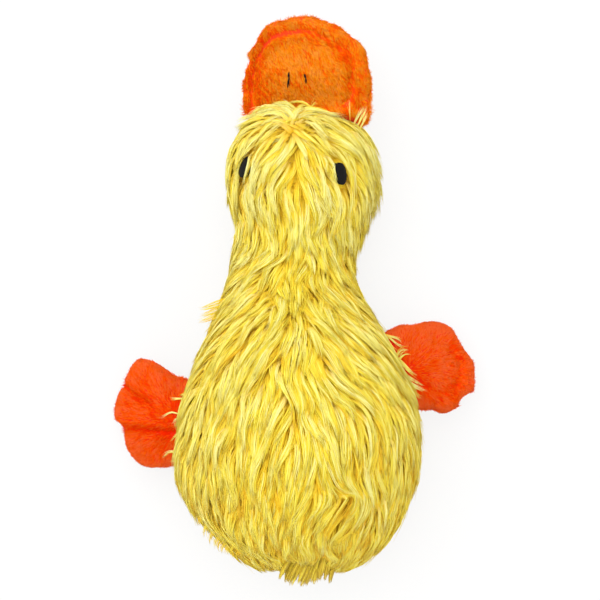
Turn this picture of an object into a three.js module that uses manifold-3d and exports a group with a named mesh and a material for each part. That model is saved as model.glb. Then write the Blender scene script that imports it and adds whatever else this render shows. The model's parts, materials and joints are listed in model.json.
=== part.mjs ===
// Plush duck lying on its belly, made as a sewn toy is: long-pile fur panels over fibre filling,
// short-pile bill and feet with wadding, embroidered eyes and nostrils, and a squeaker in the body.
// Millimetres. +Y runs to the bill, +X to the duck's right, +Z up, and the floor is Z = 0.
import * as THREE from "three";
import { mergeVertices } from "three/addons/utils/BufferGeometryUtils.js";
import Module from "manifold-3d";

const wasm = await Module();
wasm.setup();

// Body, from the tail end to the centre of the neck joint
const bodyLength = 159;
const bodyWidth = 134;
const bodyHeight = 113;
const seamHeight = 32;

// Neck, a round stub that ends in a ball
const neckRadius = 33;
const neckHeight = 33.5;
const neckSideShare = -0.021;

// Head, from the centre of the neck joint to the sewn root of the bill
const headLength = 105.5;
const headWidth = 83.4;
const headHeight = 78.5;
const headYawDegrees = 4.6;
const headRollDegrees = 10;

// Bill
const billLength = 57;
const billWidth = 77;
const billTopRise = 12;
const billUnderDrop = 10;
const billRootRadius = 5;
const billRootStep = 1.2;
const billYawDegrees = 5;
const billCreaseDepth = 2.4;
const billRimWidth = 10;
const billPanelShift = 3.2;

// Feet
const footLength = 47;
const footWidth = 52;
const footThickness = 19;
const footRootRadius = 5;
const footDroopDegrees = 27;
const toeCreaseDepth = 2.6;
const toeNotchDepth = 2.4;

// Cloth, filling and the gaps between pieces
const furThickness = 7;
const plushThickness = 2.5;
const gap = 0.3;
const restDepth = 0.5;

// Main locks of the pile on the back
const lockSpacing = 16;
const lockLength = 42;
const lockDepth = 4.4;

// Eyes and nostrils
const eyeWidth = 9;
const eyeLength = 13;
const eyeThickness = 3.6;
const eyeAngleDegrees = 42;
const nostrilWidth = 1.9;
const nostrilSpacing = 9.8;
const leftNostrilLength = 8.6;
const rightNostrilLength = 6.4;

// Squeaker
const squeakerDiameter = 50;
const squeakerHeight = 20;
const squeakerWall = 1.2;
const squeakerMouthDiameter = 10;
const reedFlangeWidth = 2.2;

// Tail tuft, a tab sewn into the rear seam
const tailReach = 7.5;
const tailWidth = 22;
const tailThickness = 12;
const tailRootDepth = 5;

// Facets
const tailRows = 2;
const tailRings = 4;
const backRings = 21;
const neckRings = 5;
const sidesPerLock = 4;
const undersideSides = 12;
const headRings = 14;
const headSides = 24;
const fillingRings = 12;
const fillingSides = 16;
const ballSides = 24;
const ballRings = 16;
const rodSides = 10;
const rodEndRings = 2;
const dotSides = 10;
const dotRings = 6;
const latheSides = 18;
const latheArcSteps = 5;
const toeSpans = 5;
const toeFillingSpans = 3;
const billSpans = 22;
const billFillingSpans = 14;

// Every cutting block is longer than the duck
const cutReach = 3 * (bodyLength + headLength);
const degree = Math.PI / 180;
const slopeStep = 1e-4;

// Rows of shares for the body from the tail to the neck: along its length, sideways shift and half width
// as shares of half its width, then the widest level, top and underside as shares of its height
const bodyStationShares = [
  [0, 0.104, 0, 0.3, 0.3, 0.305],
  [0.019, 0.098, 0.343, 0.31, 0.46, 0.172],
  [0.082, 0.084, 0.597, 0.336, 0.655, 0.066],
  [0.189, 0.06, 0.818, 0.372, 0.823, 0.009],
  [0.34, 0.022, 0.99, 0.398, 0.947, 0],
  [0.516, 0.03, 1.01, 0.407, 1, 0],
  [0.692, 0.024, 0.925, 0.398, 0.965, 0],
  [0.849, 0.015, 0.769, 0.363, 0.85, 0],
  [0.969, -0.022, 0.59, 0.319, 0.699, 0.009],
];

// Rows for the neck: place in front of the joint's centre as a share of the ball's radius, and its radius
// as a share of the neck's
const neckStationShares = [
  [0.26, 1.04],
  [0.64, 1],
  [1.1, 1],
];
const ballShare = 1.27;
const ballRadius = ballShare * neckRadius;
const ballPlaneShare = 0.3;

// Rows for the head: along its length, half width, then the level, rise and drop of its section as shares
// of its height; the first row lies inside the neck's ball
const headStationShares = [
  [0.21, 0.782, 0, 0.42, 0.42],
  [0.36, 0.825, 0.003, 0.455, 0.425],
  [0.51, 0.945, 0.012, 0.525, 0.445],
  [0.66, 1, 0.025, 0.545, 0.458],
  [0.795, 0.955, 0.038, 0.52, 0.46],
  [0.893, 0.87, 0.045, 0.455, 0.43],
  [0.96, 0.745, 0.05, 0.34, 0.335],
  [0.992, 0.45, 0.05, 0.18, 0.18],
  [1, 0, 0.05, 0, 0],
];
const roundPower = 2.15;
const restingPower = 2.6;

const fur = new THREE.MeshStandardMaterial({ color: 0xf0d74b, roughness: 0.92, metalness: 0 });
const tailFur = new THREE.MeshStandardMaterial({ color: 0xd0a82a, roughness: 0.92, metalness: 0 });
const billPlush = new THREE.MeshStandardMaterial({ color: 0xf88926, roughness: 0.9, metalness: 0 });
const footPlush = new THREE.MeshStandardMaterial({ color: 0xf9510c, roughness: 0.9, metalness: 0 });
const filling = new THREE.MeshStandardMaterial({ color: 0xf3f1ea, roughness: 1, metalness: 0 });
const thread = new THREE.MeshStandardMaterial({ color: 0x16110f, roughness: 0.55, metalness: 0 });
const softPlastic = new THREE.MeshStandardMaterial({ color: 0xe6e2d6, roughness: 0.5, metalness: 0 });

// Turns a closed geometry into a solid that can be cut and joined
function solid(geometry) {
  const bare = new THREE.BufferGeometry();
  bare.setAttribute("position", geometry.getAttribute("position").clone());
  if (geometry.index) bare.setIndex(geometry.index.clone());
  const merged = mergeVertices(bare);
  return new wasm.Manifold(
    new wasm.Mesh({
      numProp: 3,
      vertProperties: new Float32Array(merged.getAttribute("position").array),
      triVerts: new Uint32Array(merged.index.array),
    }),
  );
}

// Turns a solid back into a mesh with its name and material
function piece(name, shape, material) {
  const { vertProperties, triVerts } = shape.getMesh();
  const geometry = new THREE.BufferGeometry();
  geometry.setAttribute("position", new THREE.Float32BufferAttribute(vertProperties, 3));
  geometry.setIndex(new THREE.Uint32BufferAttribute(triVerts, 1));
  geometry.computeVertexNormals();
  const mesh = new THREE.Mesh(geometry, material);
  mesh.name = name;
  return mesh;
}

const cutAll = (shape, cutters) => cutters.reduce((left, cutter) => left.subtract(cutter), shape);

// A block that fills everything on one side of a plane through the given point
function halfSpace(direction, point, frame = new THREE.Matrix4()) {
  const block = new THREE.BoxGeometry(cutReach, cutReach, cutReach);
  const turn = new THREE.Quaternion().setFromUnitVectors(new THREE.Vector3(0, 0, 1), direction);
  const middle = point.clone().addScaledVector(direction, cutReach / 2);
  block.applyMatrix4(new THREE.Matrix4().compose(middle, turn, new THREE.Vector3(1, 1, 1)));
  return solid(block.applyMatrix4(frame));
}

// Reads a table of rows smoothly, with t from 0 at its first row to 1 at its last
function smoothTable(rows) {
  const width = rows[0].length;
  const places = rows.map((_, i) => i / (rows.length - 1));
  const interpolant = new THREE.CubicInterpolant(places, rows.flat(), width, new Float32Array(width));
  return (t) => Array.from(interpolant.evaluate(Math.min(Math.max(t, 0), 1)));
}

// Point of a rounded section at an angle from +X towards +Z
function sectionPoint(section, angle) {
  const c = Math.cos(angle);
  const s = Math.sin(angle);
  const power = 2 / (s < 0 ? section.lowerPower : section.power);
  const rise = s < 0 ? section.drop : section.rise;
  return new THREE.Vector3(
    section.x + section.halfWidth * Math.sign(c) * Math.abs(c) ** power,
    section.y,
    section.z + rise * Math.sign(s) * Math.abs(s) ** power,
  );
}

// Even steps from one value up to another, without the last
const steps = (from, to, count) => Array.from({ length: count }, (_, i) => from + ((to - from) * i) / count);

// Rings and sides of a loft, spread evenly
const evenly = (rings, sides) => ({
  places: [...steps(0, 1, rings), 1],
  angles: steps(0, 2 * Math.PI, sides),
});

// Closed form through rounded sections along +Y, drawn in by an inset and raised by a relief, both
// measured square to its surface
function loft(sectionAt, { places, angles }, inset = 0, reliefAt = () => 0) {
  const pointAt = (t, angle) => sectionPoint(sectionAt(t), angle);
  const facePoint = (t, angle) => {
    const before = pointAt(Math.max(t - slopeStep, 0), angle);
    const along = pointAt(Math.min(t + slopeStep, 1), angle).sub(before);
    const round = pointAt(t, angle + slopeStep).sub(pointAt(t, angle - slopeStep));
    const point = pointAt(t, angle);
    return point.addScaledVector(along.cross(round).normalize(), reliefAt(point, angle) - inset);
  };
  const endPoint = (t, sign) => {
    const { x, y, z, halfWidth } = sectionAt(t);
    return new THREE.Vector3(x, y + (halfWidth > 0 ? 0 : sign * inset), z);
  };
  const rings = places.filter((t) => sectionAt(t).halfWidth > 0);
  const sides = angles.length;
  const points = [endPoint(0, 1), endPoint(1, -1)];
  for (const t of rings) points.push(...angles.map((angle) => facePoint(t, angle)));
  const at = (i, j) => 2 + i * sides + (j % sides);
  const faces = [];
  for (let j = 0; j < sides; j++) {
    faces.push(0, at(0, j), at(0, j + 1));
    faces.push(1, at(rings.length - 1, j + 1), at(rings.length - 1, j));
    for (let i = 0; i < rings.length - 1; i++) {
      faces.push(at(i, j), at(i + 1, j), at(i, j + 1));
      faces.push(at(i + 1, j), at(i + 1, j + 1), at(i, j + 1));
    }
  }
  return new THREE.BufferGeometry().setFromPoints(points).setIndex(faces);
}

// Ball of the neck; a cutter is made larger so that its flat facets clear the ball at every angle
function ballAt(centre, clearance) {
  const facets = clearance > 0 ? Math.cos(Math.PI / ballSides) * Math.cos(Math.PI / (2 * ballRings)) : 1;
  const ball = new THREE.SphereGeometry((ballRadius + clearance) / facets, ballSides, ballRings);
  return solid(ball.translate(centre.x, centre.y, centre.z));
}

// Round bead along X at a sewn root, or the groove that it turns in
function rootBead(radius, length, clearance) {
  const facets = clearance > 0 ? Math.cos(Math.PI / rodSides) : 1;
  const bead = new THREE.CapsuleGeometry((radius + clearance) / facets, length, rodEndRings, rodSides);
  return bead.rotateZ(Math.PI / 2);
}

// Egg-shaped dot of embroidery
function dot(width, length, thickness, grow) {
  const ball = new THREE.SphereGeometry(1, dotSides, dotRings);
  return ball.scale(width / 2 + grow, length / 2 + grow, thickness / 2 + grow);
}

// Pad that fans out from a straight root along X towards +Y, with a top and an underside that meet in a
// seam at its edge. Rays are angles from +Y towards +X.
function pad({ rays, ringsAt, reachAt, topAt, underAt }, inset = 0) {
  const points = [];
  const add = (x, y, z) => points.push(new THREE.Vector3(x, y, z)) - 1;
  const place = (ray, share) => {
    const reach = Math.max(reachAt(ray) - inset, 0) * share;
    return [reach * Math.sin(ray), reach * Math.cos(ray)];
  };
  const topCentre = add(0, 0, topAt(0, 0) - inset);
  const underCentre = add(0, 0, inset - underAt(0, 0));
  const top = rays.map(() => [topCentre]);
  const under = rays.map(() => [underCentre]);
  rays.forEach((ray, j) => {
    for (const share of ringsAt(ray)) {
      const [x, y] = place(ray, share);
      if (share === 1) {
        const edge = add(x, y, 0);
        top[j].push(edge);
        under[j].push(edge);
      } else {
        top[j].push(add(x, y, Math.max(topAt(ray, share) - inset, gap)));
        under[j].push(add(x, y, -Math.max(underAt(ray, share) - inset, gap)));
      }
    }
  });
  const faces = [];
  for (let j = 0; j < rays.length - 1; j++) {
    faces.push(topCentre, top[j + 1][1], top[j][1], underCentre, under[j][1], under[j + 1][1]);
    for (let k = 1; k < top[j].length - 1; k++) {
      faces.push(top[j][k], top[j + 1][k], top[j + 1][k + 1], top[j][k], top[j + 1][k + 1], top[j][k + 1]);
      faces.push(under[j][k], under[j][k + 1], under[j + 1][k + 1]);
      faces.push(under[j][k], under[j + 1][k + 1], under[j + 1][k]);
    }
  }
  const last = rays.length - 1;
  for (let k = 0; k < top[0].length - 1; k++) {
    const isEdge = k === top[0].length - 2;
    faces.push(under[last][k], top[last][k + 1], top[last][k]);
    faces.push(under[0][k], top[0][k], top[0][k + 1]);
    if (!isEdge) faces.push(under[last][k], under[last][k + 1], top[last][k + 1]);
    if (!isEdge) faces.push(under[0][k], top[0][k + 1], under[0][k + 1]);
  }
  return new THREE.BufferGeometry().setFromPoints(points).setIndex(faces);
}

// Cuts a sewn pad into its top panel, its under panel and the wadding between them
function padPanels(shape, fillingShape, root) {
  const drawnIn = (form, inset) =>
    solid(pad(form, inset)).add(solid(rootBead(root.radius - inset, root.length, 0)));
  const cloth = drawnIn(shape, 0).subtract(drawnIn(fillingShape, plushThickness));
  const wadding = drawnIn(fillingShape, plushThickness + gap);
  const seam = gap / 2;
  const up = new THREE.Vector3(0, 0, 1);
  const down = new THREE.Vector3(0, 0, -1);
  return {
    top: cloth.subtract(halfSpace(down, up.clone().multiplyScalar(seam))),
    under: cloth.subtract(halfSpace(up, down.clone().multiplyScalar(seam))),
    wadding,
  };
}

// The duck's own groups, whose places the cutters share
const duck = new THREE.Group();
const head = new THREE.Group();
const bill = new THREE.Group();
const leftFoot = new THREE.Group();
const rightFoot = new THREE.Group();
duck.add(head, leftFoot, rightFoot);
head.add(bill);

const halfBodyWidth = bodyWidth / 2;
const neckCentre = new THREE.Vector3(neckSideShare * halfBodyWidth, bodyLength, neckHeight);
head.position.copy(neckCentre);
head.rotation.set(0, -headRollDegrees * degree, -headYawDegrees * degree, "ZYX");

const billLevelShare = 0.05;
bill.position.set(0, headLength + billRootStep, billLevelShare * headHeight);
bill.rotation.z = billYawDegrees * degree;

// Places of the feet: along the body from the tail, out from its middle, and the way their toes point
const footPlaces = {
  left: { alongShare: 0.544, outShare: -0.963, turnDegrees: 82.8 },
  right: { alongShare: 0.733, outShare: 0.927, turnDegrees: -69 },
};
function placeFoot(group, { alongShare, outShare, turnDegrees }) {
  group.position.set(outShare * halfBodyWidth, alongShare * bodyLength, seamHeight);
  group.rotation.set(-footDroopDegrees * degree, 0, turnDegrees * degree, "ZYX");
}
placeFoot(leftFoot, footPlaces.left);
placeFoot(rightFoot, footPlaces.right);
duck.updateMatrixWorld(true);

// Sections of the body and neck
const bodyRows = bodyStationShares.map(([along, shift, width, level, top, under]) => [
  along * bodyLength,
  shift * halfBodyWidth,
  width * halfBodyWidth,
  level * bodyHeight,
  (top - level) * bodyHeight,
  (level - under) * bodyHeight + (under > 0 ? 0 : restDepth),
]);
for (const [along, radius] of neckStationShares) {
  const r = radius * neckRadius;
  bodyRows.push([bodyLength + along * ballRadius, neckCentre.x, r, neckHeight, r, neckRadius]);
}
const bodyTable = smoothTable(bodyRows);
function bodySection(t) {
  const [y, x, halfWidth, z, rise, drop] = bodyTable(t);
  return { x, y, z, halfWidth, rise, drop, power: roundPower, lowerPower: restingPower };
}

// Main locks of the pile on the back: columns that fan out from the neck and run back to the tail, each a
// row of locks that rise towards their tips, with furrows between them
const lockCount = Math.round((Math.PI * halfBodyWidth) / lockSpacing);
const lockSwayShare = 0.3;
const lockSwayCycle = 2.6 * lockLength;
const lockStaggerShare = 0.618;
const lockRootShare = 0.4;
const tipPower = 1.6;
const crestPower = 1.6;
function lockRelief({ y, z }, angle) {
  const sway = lockSwayShare * Math.sin((2 * Math.PI * y) / lockSwayCycle + 2 * angle);
  const across = (lockCount * angle) / Math.PI + sway;
  const column = Math.round(across);
  const fromRoot = THREE.MathUtils.euclideanModulo(lockStaggerShare * column - y / lockLength, 1);
  const lift = Math.sin(Math.PI * fromRoot ** tipPower);
  const crest = Math.cos(Math.PI * (across - column)) ** (crestPower * (1 + lift));
  const shown =
    THREE.MathUtils.smoothstep(z, seamHeight, seamHeight + lockSpacing) *
    THREE.MathUtils.smoothstep(y, 0, lockSpacing) *
    THREE.MathUtils.smoothstep(bodyLength - y, 0, lockLength);
  return -lockDepth * shown * (1 - crest * THREE.MathUtils.lerp(lockRootShare, 1, lift));
}

// Grid of the body's fur: close rings and sides where the locks lie, fewer at the tail, neck and underside
const backStart = tailRows / (bodyRows.length - 1);
const backEnd = (bodyStationShares.length - 1) / (bodyRows.length - 1);
const furGrid = {
  places: [
    ...steps(0, backStart, tailRings),
    ...steps(backStart, backEnd, backRings),
    ...steps(backEnd, 1, neckRings),
    1,
  ],
  angles: [
    ...steps(0, Math.PI, sidesPerLock * lockCount),
    ...steps(Math.PI, 2 * Math.PI, undersideSides),
  ],
};

// Sections of the head, in its own frame at the neck joint
const headTable = smoothTable(
  headStationShares.map(([along, width, level, rise, drop]) => [
    along * headLength,
    (width * headWidth) / 2,
    level * headHeight,
    rise * headHeight,
    drop * headHeight,
  ]),
);
function headSection(t) {
  const [y, halfWidth, z, rise, drop] = headTable(t);
  return { x: 0, y, z, halfWidth, rise, drop, power: roundPower, lowerPower: roundPower };
}

// Tail tuft, drawn out to a rounded tip behind the rear seam
function tailTuft(grow) {
  const root = tailRootDepth + grow;
  const length = tailReach + root + grow;
  const section = (t) => {
    const swell = Math.sqrt(Math.max(1 - (1 - 2 * t) ** 2, 0));
    return {
      x: bodyRows[0][1],
      y: root - length * (1 - t),
      z: bodyRows[0][3],
      halfWidth: swell * (tailWidth / 2 + grow),
      rise: swell * (tailThickness / 2 + grow),
      drop: swell * (tailThickness / 2 + grow),
      power: roundPower,
      lowerPower: roundPower,
    };
  };
  return solid(loft(section, evenly(dotRings, dotSides)));
}

// Squeaker bulb: a flat round bellows with an open mouth on top
const squeakerRadius = squeakerDiameter / 2;
const mouthRadius = squeakerMouthDiameter / 2;
const squeakerEdge = squeakerHeight / 2;
function bulbArc(radius, from, to) {
  const arc = [];
  for (let i = 0; i <= latheArcSteps; i++) {
    const angle = (from + ((to - from) * i) / latheArcSteps) * degree;
    arc.push(
      new THREE.Vector2(
        squeakerRadius - squeakerEdge + radius * Math.cos(angle),
        squeakerEdge + radius * Math.sin(angle),
      ),
    );
  }
  return arc;
}
function bulbGeometry() {
  const inner = squeakerEdge - squeakerWall;
  const profile = [
    new THREE.Vector2(0, 0),
    ...bulbArc(squeakerEdge, -90, 90),
    new THREE.Vector2(mouthRadius, squeakerHeight),
    new THREE.Vector2(mouthRadius, squeakerHeight - squeakerWall),
    ...bulbArc(inner, 90, -90),
    new THREE.Vector2(0, squeakerWall),
  ];
  return new THREE.LatheGeometry(profile, latheSides);
}
const reedTop = squeakerHeight + gap + squeakerWall;
function reedGeometry() {
  const barrel = mouthRadius - gap;
  const flange = mouthRadius + reedFlangeWidth;
  const foot = squeakerHeight - squeakerWall - reedFlangeWidth;
  const profile = [
    new THREE.Vector2(0, foot),
    new THREE.Vector2(barrel, foot),
    new THREE.Vector2(barrel, squeakerHeight + gap),
    new THREE.Vector2(flange, squeakerHeight + gap),
    new THREE.Vector2(flange, reedTop),
    new THREE.Vector2(0, reedTop),
  ];
  return new THREE.LatheGeometry(profile, latheSides);
}
function squeakerPocketGeometry() {
  const flange = mouthRadius + reedFlangeWidth + gap;
  const profile = [
    new THREE.Vector2(0, -gap),
    ...bulbArc(squeakerEdge + gap, -90, 90),
    new THREE.Vector2(flange, squeakerHeight + gap),
    new THREE.Vector2(flange, reedTop + gap),
    new THREE.Vector2(0, reedTop + gap),
  ];
  return new THREE.LatheGeometry(profile, latheSides);
}
const squeakerAlongShare = 0.56;
const squeakerPlace = new THREE.Vector3(0, squeakerAlongShare * bodyLength, furThickness - restDepth + gap);
function placeSqueaker(geometry) {
  geometry.rotateX(Math.PI / 2);
  return solid(geometry.translate(squeakerPlace.x, squeakerPlace.y, squeakerPlace.z));
}

// Toes: each foot's reach along chosen rays, and the creases between its toes
const footTables = {
  left: {
    creaseDegrees: [-17, 24],
    reachShares: [
      [-90, 0.53],
      [-68, 0.68],
      [-45, 0.82],
      [-17, 0.87],
      [2, 0.96],
      [24, 0.98],
      [45, 1],
      [62, 0.8],
      [78, 0.62],
      [90, 0.53],
    ],
  },
  right: {
    creaseDegrees: [-6, 45],
    reachShares: [
      [-90, 0.53],
      [-65, 0.61],
      [-42, 0.74],
      [-20, 0.9],
      [-6, 0.93],
      [14, 0.99],
      [32, 1],
      [45, 0.96],
      [66, 0.82],
      [90, 0.53],
    ],
  },
};

// Height of a pad that is thin at its root and full further out, with a rounded edge
const edgePower = 5;
function padRise(rootRise, fullRise, outward, share) {
  const swell = THREE.MathUtils.smoothstep(outward, 0, 1);
  return (rootRise + (fullRise - rootRise) * swell) * Math.sqrt(Math.max(1 - share ** edgePower, 0));
}

const pinchShare = 0.9;
const swellShare = 0.45;
const toeWidthDegrees = 11;
function footShape({ creaseDegrees, reachShares }, spans, rings) {
  const angles = reachShares.map(([angle]) => angle * degree);
  const shares = reachShares.map(([, share]) => share);
  const smooth = new THREE.CubicInterpolant(angles, shares, 1, new Float32Array(1));
  const nearCrease = (ray) =>
    Math.max(...creaseDegrees.map((crease) => Math.exp(-(((ray / degree - crease) / toeWidthDegrees) ** 2))));
  const limits = [-90, ...creaseDegrees, 90];
  const rays = [-90 * degree];
  for (let toe = 0; toe < limits.length - 1; toe++) {
    for (let i = 1; i <= spans; i++) {
      rays.push((limits[toe] + ((limits[toe + 1] - limits[toe]) * i) / spans) * degree);
    }
  }
  const reachAt = (ray) => smooth.evaluate(ray)[0] * footLength - toeNotchDepth * nearCrease(ray);
  const riseAt = (ray, share) => {
    const outward = (reachAt(ray) * share * Math.cos(ray)) / (swellShare * footLength);
    const full = footThickness / 2;
    const crease = toeCreaseDepth * nearCrease(ray) * THREE.MathUtils.smoothstep(outward, 0, 1);
    return padRise(pinchShare * footRootRadius, full, outward, share) - crease * Math.sqrt(1 - share ** 2);
  };
  return { rays, ringsAt: () => rings, reachAt, topAt: riseAt, underAt: riseAt };
}
const footRingShares = [0.35, 0.65, 0.88, 1];
const footFillingRingShares = [0.4, 0.8, 1];

// Bill: a broad pad with a crease inside its edge that leaves a raised rim
const billEdgePower = 2.5;
const billRootShare = 0.86;
const billRootTurnDegrees = 14;
const billRingShares = { panel: [0.4, 0.72, 0.93, 1], rim: [0.35, 0.8, 1] };
const billFillingRingShares = { panel: [0.5, 1], rim: [0.7, 1] };
const creaseWidthShare = 0.3;
function billShape(spans, rings) {
  const rays = [];
  for (let i = 0; i <= spans; i++) rays.push((-90 + (180 * i) / spans) * degree);
  const reachAt = (ray) => {
    const across = Math.abs(Math.sin(ray)) / (billWidth / 2);
    const along = Math.abs(Math.cos(ray)) / billLength;
    const reach = (across ** billEdgePower + along ** billEdgePower) ** (-1 / billEdgePower);
    const fromRoot = (Math.PI / 2 - Math.abs(ray)) / (billRootTurnDegrees * degree);
    return reach * THREE.MathUtils.lerp(billRootShare, 1, THREE.MathUtils.smoothstep(fromRoot, 0, 1));
  };
  const outwardAt = (ray, share) => (reachAt(ray) * share * Math.cos(ray)) / (swellShare * billLength);
  const creaseAt = (ray) => 1 - (billRimWidth + billPanelShift * Math.sin(ray)) / reachAt(ray);
  const ringsAt = (ray) => [
    ...rings.panel.map((share) => share * creaseAt(ray)),
    ...rings.rim.map((share) => THREE.MathUtils.lerp(creaseAt(ray), 1, share)),
  ];
  const topAt = (ray, share) => {
    const outward = outwardAt(ray, share);
    const fromCrease = (share - creaseAt(ray)) / (1 - creaseAt(ray));
    const crease = Math.exp(-((fromCrease / creaseWidthShare) ** 2));
    const rise = padRise(pinchShare * billRootRadius, billTopRise, outward, share);
    return rise - billCreaseDepth * crease * THREE.MathUtils.smoothstep(outward, 0, 1);
  };
  const underAt = (ray, share) =>
    padRise(pinchShare * billRootRadius, billUnderDrop, outwardAt(ray, share), share);
  return { rays, ringsAt, reachAt, topAt, underAt };
}

// Roots of the bill and feet: beads that turn in grooves of the head and body
const beadShare = 0.74;
const billRoot = { radius: billRootRadius, length: beadShare * billWidth };
const footRoot = { radius: footRootRadius, length: beadShare * footWidth };
const billGroove = solid(rootBead(billRoot.radius, billRoot.length, gap).applyMatrix4(bill.matrix));
const footGrooves = [leftFoot, rightFoot].map((foot) =>
  solid(rootBead(footRoot.radius, footRoot.length, gap).applyMatrix4(foot.matrixWorld)),
);

const floorPoint = new THREE.Vector3(0, 0, 0);
const downward = new THREE.Vector3(0, 0, -1);
const upward = new THREE.Vector3(0, 0, 1);
const forward = new THREE.Vector3(0, 1, 0);
const floorBlock = halfSpace(downward, floorPoint);

// Body: fur panels above and below the side seam, filling, squeaker and tail tuft
const ballPlane = new THREE.Vector3(0, bodyLength + ballPlaneShare * ballRadius, 0);
const beyondBall = halfSpace(forward, ballPlane).subtract(ballAt(neckCentre, 0));
const squeakerPocket = placeSqueaker(squeakerPocketGeometry());
const bodyFur = cutAll(solid(loft(bodySection, furGrid, 0, lockRelief)), [
  solid(loft(bodySection, evenly(fillingRings, fillingSides), furThickness)),
  beyondBall,
  floorBlock,
  ...footGrooves,
  tailTuft(gap),
  squeakerPocket,
]);
const seamPoint = (offset) => new THREE.Vector3(0, 0, seamHeight + offset);
duck.add(piece("back_fur_panel", bodyFur.subtract(halfSpace(downward, seamPoint(gap / 2))), fur));
duck.add(piece("belly_fur_panel", bodyFur.subtract(halfSpace(upward, seamPoint(-gap / 2))), fur));
duck.add(
  piece(
    "body_filling",
    cutAll(solid(loft(bodySection, evenly(fillingRings, fillingSides), furThickness + gap)), [
      beyondBall,
      squeakerPocket,
    ]),
    filling,
  ),
);
duck.add(piece("squeaker_bulb", placeSqueaker(bulbGeometry()), softPlastic));
duck.add(piece("squeaker_reed", placeSqueaker(reedGeometry()), softPlastic));
duck.add(piece("tail_tuft", tailTuft(0), tailFur));

// Eyes, set on the crown either side of its middle
const eyeRowShare = 0.38;
const eyeSinkShare = 0.25;
function eyeAt(side, grow) {
  const fromSide = (90 - side * eyeAngleDegrees) * degree;
  const { x, y, z } = sectionPoint(headSection(eyeRowShare), fromSide);
  const eye = dot(eyeWidth, eyeLength, eyeThickness, grow);
  eye.translate(0, 0, -eyeSinkShare * eyeThickness).rotateY(side * eyeAngleDegrees * degree);
  return solid(eye.translate(x, y, z));
}

// Head: fur halves that meet along the crown, filling and eyes, in the head's own frame
const headCut = [
  ballAt(floorPoint, gap),
  halfSpace(downward, floorPoint, head.matrixWorld.clone().invert()),
  billGroove,
];
const headFur = cutAll(solid(loft(headSection, evenly(headRings, headSides))), [
  solid(loft(headSection, evenly(fillingRings, fillingSides), furThickness)),
  ...headCut,
  eyeAt(-1, gap),
  eyeAt(1, gap),
]);
const toRight = new THREE.Vector3(1, 0, 0);
const toLeft = new THREE.Vector3(-1, 0, 0);
const crownPoint = (offset) => new THREE.Vector3(offset, 0, 0);
head.add(piece("head_fur_left", headFur.subtract(halfSpace(toRight, crownPoint(-gap / 2))), fur));
head.add(piece("head_fur_right", headFur.subtract(halfSpace(toLeft, crownPoint(gap / 2))), fur));
head.add(
  piece(
    "head_filling",
    cutAll(solid(loft(headSection, evenly(fillingRings, fillingSides), furThickness + gap)), headCut),
    filling,
  ),
);
head.add(piece("eye_left", eyeAt(-1, 0), thread));
head.add(piece("eye_right", eyeAt(1, 0), thread));

// Bill: two plush panels and wadding, with a stitched nostril either side of the middle
const billPanels = padPanels(
  billShape(billSpans, billRingShares),
  billShape(billFillingSpans, billFillingRingShares),
  billRoot,
);
const nostrilAlongShare = 0.33;
const nostrilHeightShare = 0.9;
function nostril(side, length, grow) {
  const stitch = new THREE.CapsuleGeometry(
    nostrilWidth / 2 + grow,
    length - nostrilWidth,
    rodEndRings,
    dotSides,
  );
  const across = (side * nostrilSpacing) / 2 - billPanelShift;
  return solid(stitch.translate(across, nostrilAlongShare * billLength, nostrilHeightShare * billTopRise));
}
const billTop = cutAll(billPanels.top, [
  nostril(-1, leftNostrilLength, gap),
  nostril(1, rightNostrilLength, gap),
]);
bill.add(piece("bill_upper_panel", billTop, billPlush));
bill.add(piece("bill_lower_panel", billPanels.under, billPlush));
bill.add(piece("bill_wadding", billPanels.wadding, filling));
bill.add(piece("nostril_left", nostril(-1, leftNostrilLength, 0), thread));
bill.add(piece("nostril_right", nostril(1, rightNostrilLength, 0), thread));

// Feet: an upper panel, a sole and wadding each
for (const [side, group] of [["left", leftFoot], ["right", rightFoot]]) {
  const panels = padPanels(
    footShape(footTables[side], toeSpans, footRingShares),
    footShape(footTables[side], toeFillingSpans, footFillingRingShares),
    footRoot,
  );
  group.add(piece("foot_" + side + "_upper", panels.top, footPlush));
  group.add(piece("foot_" + side + "_sole", panels.under, footPlush));
  group.add(piece("foot_" + side + "_wadding", panels.wadding, filling));
}

// The part's origin is the middle of its box on the floor
duck.updateMatrixWorld(true);
const middle = new THREE.Box3().setFromObject(duck, true).getCenter(new THREE.Vector3());
duck.position.set(-middle.x, -middle.y, 0);

export default duck;
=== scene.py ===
"""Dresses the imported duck: long-pile fur, short plush, padding and embroidery on the CAD frame."""

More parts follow.
